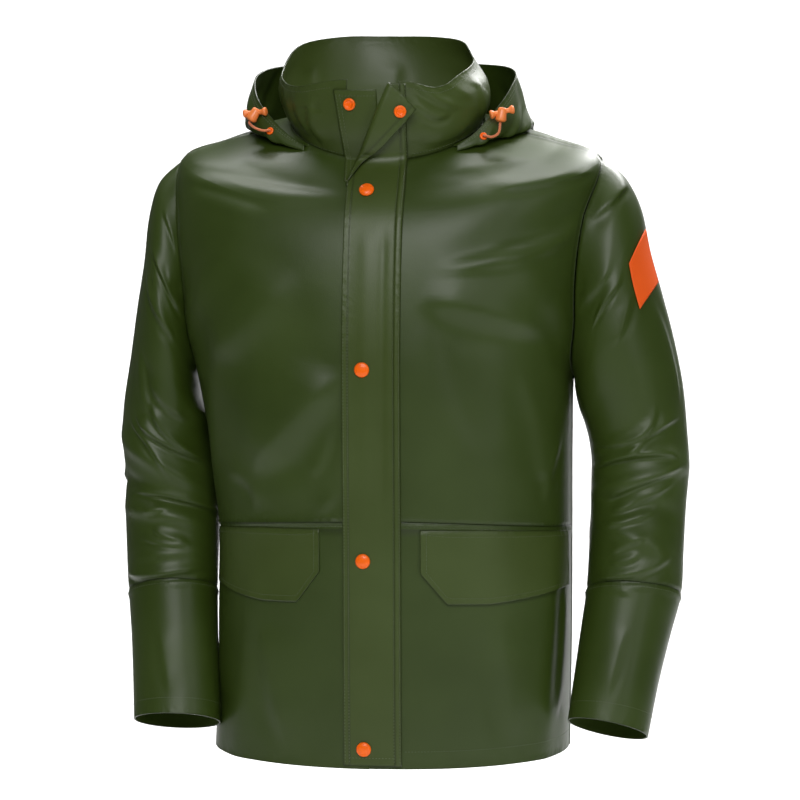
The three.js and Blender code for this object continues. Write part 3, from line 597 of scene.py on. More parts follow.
# %% Sleeve tables
RING_COLUMNS = "outX outZ inX inZ y deep lean"
SLEEVE = {
    -1: table(RING_COLUMNS, [
        (264, -48, 222, -270, 0, 66, 0),
        (276, -86, 221, -282, 2, 72, 0),
        (282, -136, 220, -294, 4, 75, 0),
        (291, -190, 215.5, -307, 6, 75, 0),
        (300, -250, 207, -324, 8, 73, 2),
        (309, -308, 206, -346, 9, 69, 4),
        (310, -352, 200.5, -374, 9, 65, 6),
        (307, -396, 198.5, -408, 6, 62, 9),
        (306, -438, 197.5, -441, 0, 60, 12),
        (303, -480, 197, -476, -10, 58, 15),
        (299, -522, 196, -514, -22, 56, 18),
        (293, -570, 193, -562, -38, 52, 20),
        (288, -620, 188, -612, -56, 48, 20),
        (284, -664, 184, -664, -74, 44, 20),
    ]),
    1: table(RING_COLUMNS, [
        (271, -42, 215, -274, 0, 66, 0),
        (290, -78, 216, -286, 2, 72, 0),
        (301, -128, 218, -297, 4, 75, 0),
        (315, -178, 221, -309, 6, 75, 0),
        (328, -228, 226, -323, 8, 73, 2),
        (338, -278, 231, -342, 9, 69, 4),
        (343, -326, 234, -364, 9, 65, 6),
        (346, -372, 234, -394, 6, 62, 9),
        (343, -416, 234, -426, 0, 60, 12),
        (341, -466, 233, -466, -10, 58, 15),
        (339, -515, 231, -512, -22, 56, 18),
        (328, -560, 226, -556, -38, 52, 20),
        (316, -612, 220, -606, -56, 48, 20),
        (305, -672, 214, -656, -74, 44, 20),
    ]),
}
FOREARM_SEAM = 11
CUFF = 14
SEAM_GAP = 0.3
SLEEVE_STEPS = 150
SLEEVE_FOLDS = {
    -1: table(FOLD_COLUMNS, [
        (80, 7.4, 26, 70, 13, 5),
        (72, 8.3, 20, 62, 12, -4),
        (84, 9, 12, 60, 12, 5),
        (95, 10.2, -6, 55, 12, 4),
        (250, 7.8, -14, 60, 15, 4),
        (268, 9.1, 10, 60, 14, 5),
    ]),
    1: table(FOLD_COLUMNS, [
        (92, 7.3, -24, 66, 13, 4),
        (86, 8.2, 8, 66, 12, 5),
        (80, 9.1, -16, 60, 12, -4),
        (90, 9.9, -22, 58, 12, 5),
        (262, 8, 12, 60, 15, 4),
        (250, 9.3, -10, 60, 14, 5),
    ]),
}

# %% [markdown]
# The smaller sleeve creases run down from the shoulder, wrap the elbow and gather above the forearm seam.

# %% Sleeve creases
SLEEVE_CREASES = {
    -1: table(DRAWN_COLUMNS, [
        (46, 2.15, 90, 1.3, 126, 0.1, 4.5, 3.4),
        (46, 0.85, 68, 0.5, 86, 0.3, 4, 2.4),
        (86, 1.2, 96, 0.6, 106, 0.1, 3.5, 2.2),
        (46, 2.7, 76, 2.9, 116, 1.85, 10, 4),
        (56, 4.5, 72, 5.2, 88, 5.9, 8, -3),
        (66, 5.0, 96, 5.3, 128, 5.5, 9, 3),
        (58, 6.0, 88, 6.6, 158, 7.25, 6, 4.5),
        (42, 6.2, 78, 6.95, 100, 7.95, 5, 3.6),
        (74, 5.15, 106, 6.5, 165, 7.1, 6, 3.6),
        (36, 8.35, 98, 8.45, 200, 8.9, 5, 4.4),
        (64, 9.05, 80, 8.9, 98, 8.8, 4, 2.2),
        (74, 9.4, 90, 9.7, 120, 9.85, 4.5, 2.8),
        (52, 9.7, 96, 9.95, 124, 9.9, 4.5, 3),
        (14, 10.5, 78, 10.85, 160, 10.5, 6, 4),
        (78, 12.1, 84, 12.8, 90, 13.6, 8, 1.6),
        (196, 5.7, 240, 6.4, 296, 6.1, 6, 4),
        (186, 7.0, 232, 7.6, 304, 7.2, 6, 4.2),
        (214, 8.4, 256, 8.7, 326, 8.2, 5, 4),
        (222, 9.5, 262, 9.4, 304, 9.7, 5, 3),
        (196, 10.3, 250, 10.7, 316, 10.2, 6, 3.6),
        (220, 2.7, 262, 1.9, 304, 1.0, 7, 3.4),
        (236, 3.9, 270, 3.6, 318, 3.5, 10, 3.4),
        (322, 7.5, 350, 7.9, 18, 7.6, 6, 3),
        (250, 12.2, 258, 12.9, 268, 13.6, 9, 1.8),
    ]),
    1: table(DRAWN_COLUMNS, [
        (8, 1.35, 44, 0.75, 68, 0.1, 6, 4.4),
        (64, 2.6, 84, 2.15, 110, 1.7, 4.5, 3.2),
        (72, 1.9, 92, 1.1, 112, 0.4, 5, 2.6),
        (56, 3.1, 74, 3.4, 90, 3.7, 9, 2.4),
        (36, 3.7, 28, 5.1, 26, 6.6, 9, 2.2),
        (62, 6.1, 92, 6.95, 160, 6.35, 6, 4),
        (18, 6.75, 72, 6.95, 104, 7.7, 6, 4),
        (36, 7.9, 82, 7.5, 176, 7.5, 5, 5),
        (28, 7.95, 84, 8.4, 138, 8.85, 6, 4),
        (36, 8.4, 88, 9.0, 126, 9.2, 5.5, 3.4),
        (54, 9.2, 100, 9.5, 130, 9.55, 4.5, 3),
        (74, 9.8, 96, 10.1, 124, 10.35, 4.5, 2.6),
        (80, 10.3, 98, 10.5, 122, 10.55, 4.5, 2.2),
        (38, 10.2, 88, 10.8, 152, 10.8, 6, 4),
        (84, 11.4, 110, 11.2, 138, 11.15, 3.5, 1.5),
        (84, 12.1, 90, 12.8, 94, 13.6, 8, 1.6),
        (194, 5.5, 236, 6.3, 290, 6.2, 6, 4),
        (184, 7.2, 230, 7.4, 300, 7.0, 6, 4.2),
        (206, 8.1, 254, 8.6, 322, 8.3, 5.5, 4),
        (220, 9.2, 260, 9.5, 310, 9.4, 5, 3.2),
        (190, 10.4, 246, 10.7, 312, 10.4, 6, 3.8),
        (218, 2.4, 260, 1.9, 300, 1.2, 7, 3.2),
        (232, 4.1, 268, 3.7, 314, 3.4, 10, 3.4),
        (248, 12.3, 262, 12.8, 270, 13.5, 9, 1.8),
    ]),
}
print(len(SLEEVE_CREASES[1]["a1"]), "creases on each sleeve")

# %% [markdown]
# The first ring is the armhole's own edge, so the sleeve starts on the panels without a step.
# Phi is the angle round the sleeve: 0 on the outside, 90 in front, 180 at the armpit.

# %% Sleeves
def armhole_point(side, phi):
    """The armhole's edge on the shell: its turn and row."""
    turn = side * (90 - ARMHOLE_OPEN * np.sin(np.radians(phi)))
    return turn, ARMHOLE_MIDDLE + ARMHOLE_REACH * np.cos(np.radians(phi))


def sleeve_root(side, phi):
    """The sleeve's first point beside the armhole's edge, and the way across the gap."""
    turn, rise = armhole_point(side, phi)
    p, n = shell(turn, rise), shell_normal(turn, rise)
    across = shell(side * 90.0, ARMHOLE_MIDDLE) - p
    across = unit(across - n * (across * n).sum(axis=-1, keepdims=True))
    return p + SEAM_GAP * (across + n), across


def sleeve_ring(side, phi, ring):
    """Points of a whole ring. Ring 0 is the armhole."""
    if ring <= 0:
        return sleeve_root(side, phi)[0]
    row = {name: values[min(ring, CUFF) - 1] for name, values in SLEEVE[side].items()}
    c, s = np.cos(np.radians(phi)), np.sin(np.radians(phi))
    lean = math.radians(row["lean"])
    x = (row["outX"] + row["inX"]) / 2 + c * (row["outX"] - row["inX"]) / 2
    z = (row["outZ"] + row["inZ"]) / 2 + c * (row["outZ"] - row["inZ"]) / 2
    return vec(side * x, row["y"] - s * row["deep"] * math.cos(lean), z + s * row["deep"] * math.sin(lean))


def sleeve(side, phi, at, fine=True):
    """Points of a sleeve for lists of angles and places along it, as a grid."""
    rings = np.stack([sleeve_ring(side, phi, k) for k in range(CUFF + 1)])
    i = np.clip(np.floor(at).astype(int), 0, CUFF - 1)
    f = (at - i)[:, None, None]
    a, b, c, d = (rings[np.clip(i + k, 0, CUFF)] for k in (-1, 0, 1, 2))
    points = b + 0.5 * f * (c - a + f * (2 * a - 5 * b + 4 * c - d + f * (3 * (b - c) + d - a)))
    points = points.transpose(1, 0, 2)
    angle, place = np.meshgrid(phi, at, indexing="ij")
    folds = dict(SLEEVE_FOLDS[side], z=SLEEVE_FOLDS[side]["z"] * RING_STEP)
    swell = fold_height(folds, angle, place * RING_STEP, SLEEVE_ROUND)
    if fine:
        creases = dict(SLEEVE_CREASES[side])
        for name in ("b1", "b2", "b3"):
            creases[name] = -creases[name] * RING_STEP
        fade = ramp(0, 0.6, place) * ramp(0, 0.25, CUFF - place)
        swell = swell + drawn_height(creases, angle, -place * RING_STEP, SLEEVE_ROUND) * fade
    way = vec(side * np.cos(np.radians(angle)), -np.sin(np.radians(angle)), 0)
    return points + way * swell[..., None]


def sleeve_normals(side, points):
    """Outward normals of a sleeve's grid."""
    n = grid_normals(points, True)
    centre = points.mean(axis=0, keepdims=True)
    return n * np.sign(((points - centre) * n).sum(axis=-1).mean())


phis = np.linspace(0, 360, SLEEVE_STEPS + 1)[:-1]
for side, hand in ((-1, "right"), (1, "left")):
    upper = sleeve(side, phis, FOREARM_SEAM * spread(165, near=0.0016))
    lower = sleeve(side, phis, FOREARM_SEAM + (CUFF - FOREARM_SEAM) * spread(40, near=0.006))
    n = sleeve_normals(side, upper)
    across = sleeve_root(side, phis)[1]
    ways = -n
    ways[:, 0] = unit(ways[:, 0] - across * np.minimum((ways[:, 0] * across).sum(axis=-1, keepdims=True), 0))
    cloth("sleeve_upper_" + hand, upper, sewn=("low", "high"), closed=True, normals=n, ways=ways)
    cloth("sleeve_lower_" + hand, lower, sewn=("low",), free=("high",), welt=("low",), closed=True,
          normals=sleeve_normals(side, lower))
print("sleeve grid", upper.shape[:2])

# %% [markdown]
# ## Collar
# The stand collar is one band round the neck that leans outwards and drops at the front.
# It begins a little way from the front edges, where the placket and the neck tab take over.

# %% Collar
FRONT_CUT = 2 / 12
COLLAR_COLUMNS = 150


def collar_grid(rises, shares):
    """Points of the collar, from the wearer's left end round the back to the right end."""
    start = turn_at(CENTRE_X, rises)
    left = start + (90 - start) * FRONT_CUT
    right = 360 + start + (-90 - start) * FRONT_CUT
    turns = left[None, :] + (right - left)[None, :] * shares[:, None]
    return shell(turns, np.broadcast_to(rises, turns.shape))


collar_rows = NECK + 0.001 + (RIM - NECK - 0.001) * spread(34, near=0.012)
collar = cloth("collar", collar_grid(collar_rows, spread(COLLAR_COLUMNS, near=0.002)), sewn=("low",),
               free=("high", "first", "last"))
print("collar has", len(collar.data.vertices), "points")

# %% [markdown]
# ## Hood
# The hood hangs open behind the collar. Its lower layer lies on the shoulders and the back, turns over in a
# soft fold, and comes up to the opening edge. Part 0 is the neck seam, 1 the fold and 3 the edge.

# %% Hood tables
HOOD = table("turn fold bellyOut bellyZ edgeOut edgeZ", [
    (47, 10.75, 8, -14, 9, -8),
    (60, 10.45, 26, -4, 20, 10),
    (75, 10.05, 44, 16, 36, 42),
    (90, 9.75, 51, 35, 42, 66),
    (112, 9.55, 59, 43, 48, 81),
    (136, 8.6, 76, 24, 56, 87),
    (158, 7.4, 90, -14, 63, 89),
    (180, 6.7, 97, -34, 66, 89),
])
HOOD_SHIFT = -5
HOOD_START = 47
HOOD_SEAM = 157
HOOD_LIFT = 1.2
HOOD_ROOT = 10.9
HOOD_CREASES = table("turn part slant long wide high bow", [
    (62, 1.9, 66, 30, 6, 1.8, 0.5),
    (78, 1.5, 50, 40, 7, 2.2, -0.4),
    (96, 2.1, 76, 36, 8, 1.8, 0.4),
    (120, 1.7, 62, 44, 9, 2.4, -0.5),
    (146, 2.2, 82, 40, 9, 1.8, 0.3),
    (172, 1.7, 20, 46, 10, 2.2, 0.6),
    (190, 2.3, -60, 36, 9, 1.6, -0.4),
    (216, 1.8, -66, 44, 9, 2.3, 0.5),
    (242, 2.2, -78, 38, 8, 1.8, -0.3),
    (262, 1.6, -56, 42, 8, 2.3, 0.5),
    (280, 2.1, -70, 34, 7, 1.9, -0.5),
    (298, 1.7, -60, 30, 6, 1.8, 0.4),
])
HOOD_ROUND = 150
PART_STEP = 48


def hermite(a, leave, b, arrive, f):
    """A curve from a to b with the directions in which it leaves and arrives."""
    f = f[..., None]
    f2, f3 = f * f, f * f * f
    return a * (2 * f3 - 3 * f2 + 1) + leave * (f3 - 2 * f2 + f) + b * (3 * f2 - 2 * f3) + arrive * (f3 - f2)


def sized(v, length):
    """Vectors brought to a length."""
    return unit(v) * length[..., None]


def gap_between(a, b):
    """Distance of two arrays of points."""
    return np.linalg.norm(a - b, axis=-1)


# %% Hood surface
def hood_lying(turn, part, fold):
    """Points of the lower layer, which lies on the body."""
    rise = HOOD_ROOT + (fold - HOOD_ROOT) * part
    lift = HOOD_LIFT + 3 * part * part
    return shell(turn, rise, False) + shell_normal(turn, rise, False) * lift[..., None]


def hood(turn, part):
    """Points of the hood for arrays of turns and parts."""
    turn, part = np.broadcast_arrays(np.asarray(turn, float), np.asarray(part, float))
    away = np.clip(np.abs(np.where(turn > 180, turn - 360, turn)), HOOD_START, 180)
    get = {name: along(HOOD, "turn", name, away) for name in HOOD}
    lying = hood_lying(turn, np.minimum(part, 1), get["fold"])
    neck = shell(turn, np.full_like(turn, NECK), False)
    out = unit(vec(np.sin(np.radians(turn)) / 108, -np.cos(np.radians(turn)) / 90, 0))
    aside = vec(HOOD_SHIFT * ramp(47, 80, away), 0, 0)
    start = hood_lying(turn, np.ones_like(part), get["fold"])
    before = hood_lying(turn, np.full_like(part, 0.85), get["fold"])
    belly = neck + out * get["bellyOut"][..., None]
    belly[..., 2] = get["bellyZ"]
    belly = belly + aside
    edge = neck + out * get["edgeOut"][..., None]
    edge[..., 2] = get["edgeZ"]
    edge = edge + aside
    leave = sized(start - before, gap_between(start, belly) * 1.1)
    arrive = sized(edge - start, gap_between(start, edge) * 0.55)
    reach = gap_between(belly, edge)
    rising = hermite(start, leave, belly, arrive, np.clip(part - 1, 0, 1))
    ending = hermite(belly, sized(arrive, reach), edge, sized(edge - belly, reach), np.clip(part - 2, 0, 1))
    outer = np.where((part <= 2)[..., None], rising, ending)
    return np.where((part <= 1)[..., None], lying, outer)


def hood_at(turn, part):
    """Point and normal of the hood."""
    inside = np.clip(part, 0.03, 2.97)
    return hood(turn, part), normals_of(hood, turn, inside, 1, 0.03)


def hood_points(turns, parts):
    """A grid of the hood with its creases."""
    turn, part = np.meshgrid(turns, parts, indexing="ij")
    p, n = hood_at(turn, part)
    creases = dict(HOOD_CREASES, z=HOOD_CREASES["part"] * PART_STEP)
    swell = crease_height(creases, turn, part * PART_STEP, HOOD_ROUND)
    swell = swell * ramp(1.0, 1.35, part) * ramp(0, 0.25, 3.02 - part)
    return p + n * swell[..., None], n


hood_parts = np.concatenate([np.linspace(0, 1, 22)[:-1], 1 + 2 * spread(56, near=0.008)])
HOOD_CUTS = {
    "hood_side_left": (HOOD_START + 1, HOOD_SEAM, 70, ("last",)),
    "hood_centre": (HOOD_SEAM, 360 - HOOD_SEAM, 30, ("first", "last")),
    "hood_side_right": (360 - HOOD_SEAM, 359 - HOOD_START, 70, ("first",)),
}
for name, (start, end, count, sewn) in HOOD_CUTS.items():
    turns = start + (end - start) * spread(count, near=0.005)
    points, n = hood_points(turns, hood_parts)
    cloth(name, points, sewn=sewn, free=("high",), normals=n)
print("hood has", len(hood_parts), "rows from the neck seam to the edge")

# %% [markdown]
# ## Placket
# The storm placket is a long strip over the front opening, sewn down at the wearer's left. Its top corner
# has fallen open: it is bent over a slanting line and shows its back. The strip's points are worked out from
# flat X and Z, laid on the coat at a lift, and past the bend line they go round a small cylinder and back.

# %% Strips that lie on the front
PLACKET_LEFT = -31
PLACKET_RIGHT = 34.5
PLACKET_WALL = 2
HEM_Z = -702
PLACKET_TOP = 66
TAB_LIFT = 2.6
CREASE = 0.25
BEND_START = np.array([PLACKET_LEFT, -56.0])
BEND_END = np.array([20.0, PLACKET_TOP])
BEND_RADIUS = 4
STRIP_STEPS = (-12, -8, -4, 0, 4, 8, 12)
BEND_ALONG = (BEND_END - BEND_START) / np.linalg.norm(BEND_END - BEND_START)
BEND_ACROSS = np.array([-BEND_ALONG[1], BEND_ALONG[0]])
BEND_ARC = math.pi * BEND_RADIUS


def front_point(x, z, lift):
    """Points and normals on the coat's front at a lift, by X and Z."""
    x, z = np.broadcast_arrays(np.asarray(x, float), np.asarray(z, float))
    rise = rise_at(z, RIM, lambda row: turn_at(x, row))
    turn = turn_at(x, rise)
    n = shell_normal(turn, rise, False)
    seam_turn = turn_at(x, np.full_like(x, NECK))
    below = shell_normal(seam_turn, np.full_like(x, NECK - CREASE), False)
    above = shell_normal(seam_turn, np.full_like(x, NECK + CREASE), False)
    share = np.clip((rise - NECK + CREASE) / (2 * CREASE), 0, 1)[..., None]
    near = (np.abs(rise - NECK) < CREASE)[..., None]
    n = np.where(near, unit(below * (1 - share) + above * share), n)
    return shell(turn, rise, False) + n * np.asarray(lift)[..., None], n


def placket_lift(x, z):
    """How far the placket's outer face stands off the coat: a folded band at each edge and a soft rib."""
    sewn_band = ramp(PLACKET_RIGHT - 8, PLACKET_RIGHT - 6.6, x) * ramp(PLACKET_RIGHT, PLACKET_RIGHT - 1.2, x)
    bands = 1.2 * sewn_band + 0.8 * ramp(PLACKET_LEFT + 7.2, PLACKET_LEFT + 5.8, x)
    rib = 1.2 * np.exp(-((x + 4) / 10) ** 2) - 1.1 * np.exp(-((x - 14) / 5) ** 2)
    rib = rib * ramp(-440, -330, z) * ramp(-90, -130, z)
    return LAY_GAP + PLACKET_WALL + 3 * ramp(-130, -70, z) + bands + rib


def strip_point(x, z, lift):
    """Points and normals of a stiff strip on the front, which bridges the hollow at the neck seam."""
    each = [front_point(x, z + step, lift) for step in STRIP_STEPS]
    return np.mean([p for p, n in each], axis=0), unit(np.mean([n for p, n in each], axis=0))


def placket_point(x, z):
    """Points of the placket's outer face with the way to its inner one, flat, bent or turned back."""
    past = (x - BEND_START[0]) * BEND_ACROSS[0] + (z - BEND_START[1]) * BEND_ACROSS[1]
    onward = (x - BEND_START[0]) * BEND_ALONG[0] + (z - BEND_START[1]) * BEND_ALONG[1]
    radius = np.clip(0.5 + 0.06 * onward, 0.5, BEND_RADIUS)
    flat, n = strip_point(x, z, placket_lift(x, z))
    beyond = np.maximum(past, 0)
    foot_x, foot_z = x - beyond * BEND_ACROSS[0], z - beyond * BEND_ACROSS[1]
    foot, foot_n = strip_point(foot_x, foot_z, placket_lift(foot_x, foot_z))
    aside = vec(BEND_ACROSS[0], 0, BEND_ACROSS[1])
    aside = unit(aside - foot_n * (foot_n * aside).sum(axis=-1, keepdims=True))
    angle = np.clip(past / radius, 0, math.pi)[..., None]
    bent = foot + radius[..., None] * (aside * np.sin(angle) + foot_n * (1 - np.cos(angle)))
    bent_way = -foot_n * np.cos(angle) + aside * np.sin(angle)
    back = np.maximum(past - math.pi * radius, 0)
    back_x, back_z = foot_x - back * BEND_ACROSS[0], foot_z - back * BEND_ACROSS[1]
    over, over_n = strip_point(back_x, back_z, placket_lift(back_x, back_z) + 2 * radius)
    is_flat, is_bent = (past <= 0)[..., None], (past < math.pi * radius)[..., None]
    points = np.where(is_flat, flat, np.where(is_bent, bent, over))
    return points, np.where(is_flat, -n, np.where(is_bent, bent_way, over_n))


# %% Placket
PLACKET_SPANS = (22, 14, 18)


def placket_columns(z):
    """X of the placket's columns at a height, gathered at the bend where there is one."""
    flat, bend, back = PLACKET_SPANS
    even = np.linspace(PLACKET_RIGHT, PLACKET_LEFT, flat + bend + back + 1)
    line = BEND_START[0] + (z - BEND_START[1]) * BEND_ALONG[0] / BEND_ALONG[1]
    reach = max(line - BEND_ARC / abs(BEND_ACROSS[0]), PLACKET_LEFT + 4)
    edge = max(line, PLACKET_LEFT + 12)
    start = np.linspace(PLACKET_RIGHT, edge, flat + 1)[:-1]
    middle = np.linspace(edge, reach, bend + 1)[:-1]
    gathered = np.concatenate([start, middle, np.linspace(reach, PLACKET_LEFT, back + 1)])
    return even + (gathered - even) * ramp(BEND_START[1] - 10, BEND_START[1] + 40, z)


placket_z = np.concatenate([np.linspace(HEM_Z, -140, 110)[:-1], np.linspace(-140, PLACKET_TOP, 80)])
placket_x = np.stack([placket_columns(z) for z in placket_z], axis=1)
points, ways = placket_point(placket_x, np.broadcast_to(placket_z, placket_x.shape))
# Painted shade lines along the placket's two stitch grooves; the cloth colour darkens by them.
stitch_groove_shade = [np.exp(-((placket_x - x) / 1.1) ** 2) for x in (PLACKET_RIGHT - 7.6, PLACKET_LEFT + 6.6)]
cloth("storm_placket", points, sewn=("first",), free=("last", "low", "high"), line=sum(stitch_groove_shade),
      thick=PLACKET_WALL, normals=-ways, ways=ways)
print("placket grid", placket_x.shape)

# %% [markdown]
# ## Neck tab and pocket flaps
# The tab carries the second half of the top snap. The flaps cover the pockets: their inner corner is cut off
# at a slant. Both lie on the panels' own form, so they follow every soft swell of the front.

# %% Tab and flaps
TAB_LEFT, TAB_LEFT_LOW, TAB_RIGHT, TAB_RIGHT_LOW = -50, -36, 1, 7
TAB_TOP, TAB_BOTTOM = 56, -48
tab_z = TAB_BOTTOM + (TAB_TOP - TAB_BOTTOM) * spread(36, near=0.012)
up = (tab_z - TAB_BOTTOM) / (TAB_TOP - TAB_BOTTOM)
tab_from = TAB_LEFT_LOW + (TAB_LEFT - TAB_LEFT_LOW) * up
tab_to = TAB_RIGHT_LOW + (TAB_RIGHT - TAB_RIGHT_LOW) * up
tab_x = tab_from[None, :] + (tab_to - tab_from)[None, :] * np.linspace(0, 1, 19)[:, None]
points, n = front_point(tab_x, np.broadcast_to(tab_z, tab_x.shape), np.full(tab_x.shape, TAB_LIFT))
cloth("neck_tab", points, free=("first", "last", "high"), normals=n)

FLAP = table("share top bottom", [
    (0, -433, -481),
    (0.13, -433, -516),
    (0.35, -434, -517),
    (0.6, -437, -512),
    (0.8, -440, -507),
    (1, -443, -505),
])
FLAP_INNER = {-1: -61, 1: 56}
FLAP_OUTER_TURN = 77
FLAP_FLARE = 1.2


def flap_points(side, share, down, lift):
    """Points of a pocket flap: share runs outwards from the inner end, down from the top edge."""
    inner = turn_at(FLAP_INNER[side], np.array(float(WAIST)))
    turn = inner + (side * FLAP_OUTER_TURN - inner) * share
    top = np.interp(share, FLAP["share"], FLAP["top"])
    bottom = np.interp(share, FLAP["share"], FLAP["bottom"])
    rise = rise_at(top + (bottom - top) * down, NECK, lambda row: turn)
    n = shell_normal(turn, rise, False)
    return shell(turn, rise, False) + n * (lift + FLAP_FLARE * down)[..., None], n


for side, hand in ((-1, "right"), (1, "left")):
    share, down = np.meshgrid(spread(60, near=0.006), spread(18, near=0.02), indexing="ij")
    points, n = flap_points(side, share, down, LAY_GAP + PLACKET_WALL)
    cloth("pocket_flap_" + hand, points, free=("first", "last", "high"), sewn=("low",),
          thick=PLACKET_WALL, normals=n)
print("tab and flaps made")

# %% [markdown]
# ## Badge
# The real sleeve carries a badge. Here it is a plain orange patch, stitched round its edge, with nothing
# on it.

# %% Badge
BADGE_WALL = 1.0
badge_phi = np.linspace(54, 12, 25)
badge_at = np.linspace(2.45, 3.65, 29)
grid = sleeve(1, phis, badge_at, False)
whole = sleeve(1, np.concatenate([phis, [360.0]]), badge_at, False)
n = sleeve_normals(1, grid)
n = np.concatenate([n, n[:1]])
wrapped = np.concatenate([phis, [360.0]])


def on_badge(values):
    """Values of the sleeve's grid at the badge's angles."""
    flat = values.reshape(len(wrapped), -1)
    mixed = np.stack([np.interp(badge_phi, wrapped, flat[:, k]) for k in range(flat.shape[1])], axis=1)
    return mixed.reshape(len(badge_phi), *values.shape[1:])


badge_n = unit(on_badge(n))
cloth("sleeve_badge", on_badge(whole) + badge_n * (LAY_GAP + BADGE_WALL + 0.5),
      free=("first", "last", "low", "high"), thick=BADGE_WALL, normals=badge_n)
print("badge made")

# %% [markdown]
# ## Snaps and eyelets
# Orange plastic snaps are turned shapes, so each is a profile spun about its axis and set on the cloth's
# normal.

# %% Turned pieces
LATHE_SIDES = 40
SNAP_X = -8
SNAP_HEIGHTS = (-60, -254, -468, -680)
DOME = [(0, 0), (8.3, 0), (8.4, 0.4), (8.4, 1.1), (8.1, 1.7), (7.4, 2.5), (6.6, 2.9), (6.2, 2.9),
        (5.9, 3.1), (4.6, 3.6), (2.6, 3.9), (0, 4)]
RING = [(0, 0), (6.9, 0), (7, 0.2), (7, 1.3), (6.7, 2), (6, 2.4), (5.1, 2.5), (4.5, 2.3), (4, 1.5),
        (3.5, 1.1), (1.6, 1), (1.4, 1.3), (0, 1.4)]
EYELET = [(0, 0), (4.3, 0), (4.4, 0.2), (4.3, 0.9), (3.9, 1.4), (3.3, 1.6), (2.6, 1.5), (2.2, 1.1),
          (2, 0.9), (0, 0.9)]


def lathe(profile, sides=LATHE_SIDES):
    """Points and faces of a profile of radius and height spun about Z."""
    radius, high = np.array(profile, dtype=float).T
    angle = np.linspace(0, 2 * math.pi, sides + 1)[:-1]
    inner = radius[1:-1]
    ring = vec(inner[:, None] * np.cos(angle), inner[:, None] * np.sin(angle), high[1:-1, None])
    points = np.concatenate([[(0, 0, high[0])], ring.reshape(-1, 3), [(0, 0, high[-1])]])
    faces = []
    rows = len(inner)
    top = len(points) - 1
    for k in range(sides):
        m = (k + 1) % sides
        faces.append((0, 1 + m, 1 + k))
        faces.append((top, 1 + (rows - 1) * sides + k, 1 + (rows - 1) * sides + m))
        for r in range(rows - 1):
            a, b = 1 + r * sides, 1 + (r + 1) * sides
            faces.append((a + k, a + m, b + m, b + k))
    return points, faces


def stand(points, spot, axis):
    """Turned points stood on a spot with their Z along an axis."""
    turn = Vector((0, 0, 1)).rotation_difference(Vector(axis))
    matrix = Matrix.Translation(Vector(spot)) @ turn.to_matrix().to_4x4()
    return np.array([matrix @ Vector(p) for p in points])


def turned(name, profile, spot, axis):
    """One turned piece."""
    points, faces = lathe(profile)
    thing = make_mesh(name, stand(points, spot, axis), faces)
    thing.data.set_sharp_from_angle(angle=math.radians(50))
    pieces[name] = thing
    return thing


def front_spot(x, z, lift):
    """One point and normal of the front."""
    p, n = front_point(np.array([float(x)]), np.array([float(z)]), np.array([float(lift)]))
    return p[0], n[0]


for k, z in enumerate(SNAP_HEIGHTS):
    seat = 3 * SEAM_GAP if k == 0 else SEAM_GAP
    turned("snap_cap_%d" % (k + 1), DOME, *front_spot(SNAP_X, z, placket_lift(SNAP_X, z) + seat))
corner_lift = placket_lift(SNAP_X, PLACKET_TOP) + 2 * BEND_RADIUS + PLACKET_WALL
turned("snap_ring_tab", RING, *front_spot(-29.5, 40, TAB_LIFT + SEAM_GAP))
turned("snap_ring_corner", RING, *front_spot(26, 33, corner_lift + 2 * SEAM_GAP))
print("six snaps")

# %% [markdown]
# ## Drawcord
# The hood's cord comes out of an eyelet on each side and runs into a lock shaped like a T.
# The locks are turned bodies with a cross bar; the cord is a round braid 3 mm thick.

# %% Drawcord and locks
CORD_RADIUS = 1.5
EYELET_GAP = 0.4
EYELET_FACE = 0.9
EYELET_SPOT = {"right": (295.0, 2.4), "left": (62.0, 2.35)}
LOCK_BODY = [(0, -8), (3.9, -8), (4.6, -7.8), (6.2, -6.3), (6.4, -5.6), (5.9, -2), (5.3, 4), (4.9, 6.6),
             (4, 7.8), (3.4, 8), (0, 8)]
LOCK_BAR = [(0, -14), (3.7, -14), (4.3, -13.7), (5, -12.5), (4.8, -11.4), (4.1, -10), (3.1, -8.6),
            (2.8, -7.6), (2.8, 7.6), (3.1, 8.6), (4.1, 10), (4.8, 11.4), (5, 12.5), (4.3, 13.7), (3.7, 14),
            (0, 14)]
LOCK = {
    "right": ((-148, -46, 28), (0.5, 0.1, 0.86), (1, -0.25, 0.1)),
    "left": ((136, -57, 28), (0.15, 0.1, 0.98), (1, 0.3, 0.25)),
}
LOCK_BAR_UP = 3
CORD_ROUTE = {
    "right": [(-134, -61, 10), (-145, -56, 13)],
    "left": [(126, -66, 3), (133, -65, 7)],
}
CORD_POINTS = 24


def cord_curve(name, route):
    """A round cord as a curve of one open spline, and its length in metres."""
    data = bpy.data.curves.new(name, "CURVE")
    data.dimensions = "3D"
    data.bevel_depth = CORD_RADIUS * MM
    data.bevel_resolution = 3
    data.use_fill_caps = True
    spline = data.splines.new("POLY")
    spline.points.add(len(route) - 1)
    for point, place in zip(spline.points, route):
        point.co = (*(np.array(place) * MM), 1)
    thing = bpy.data.objects.new(own_name(name), data)
    bpy.context.scene.collection.objects.link(thing)
    pieces[name] = thing
    return thing, float(np.linalg.norm(np.diff(route, axis=0), axis=1).sum()) * MM


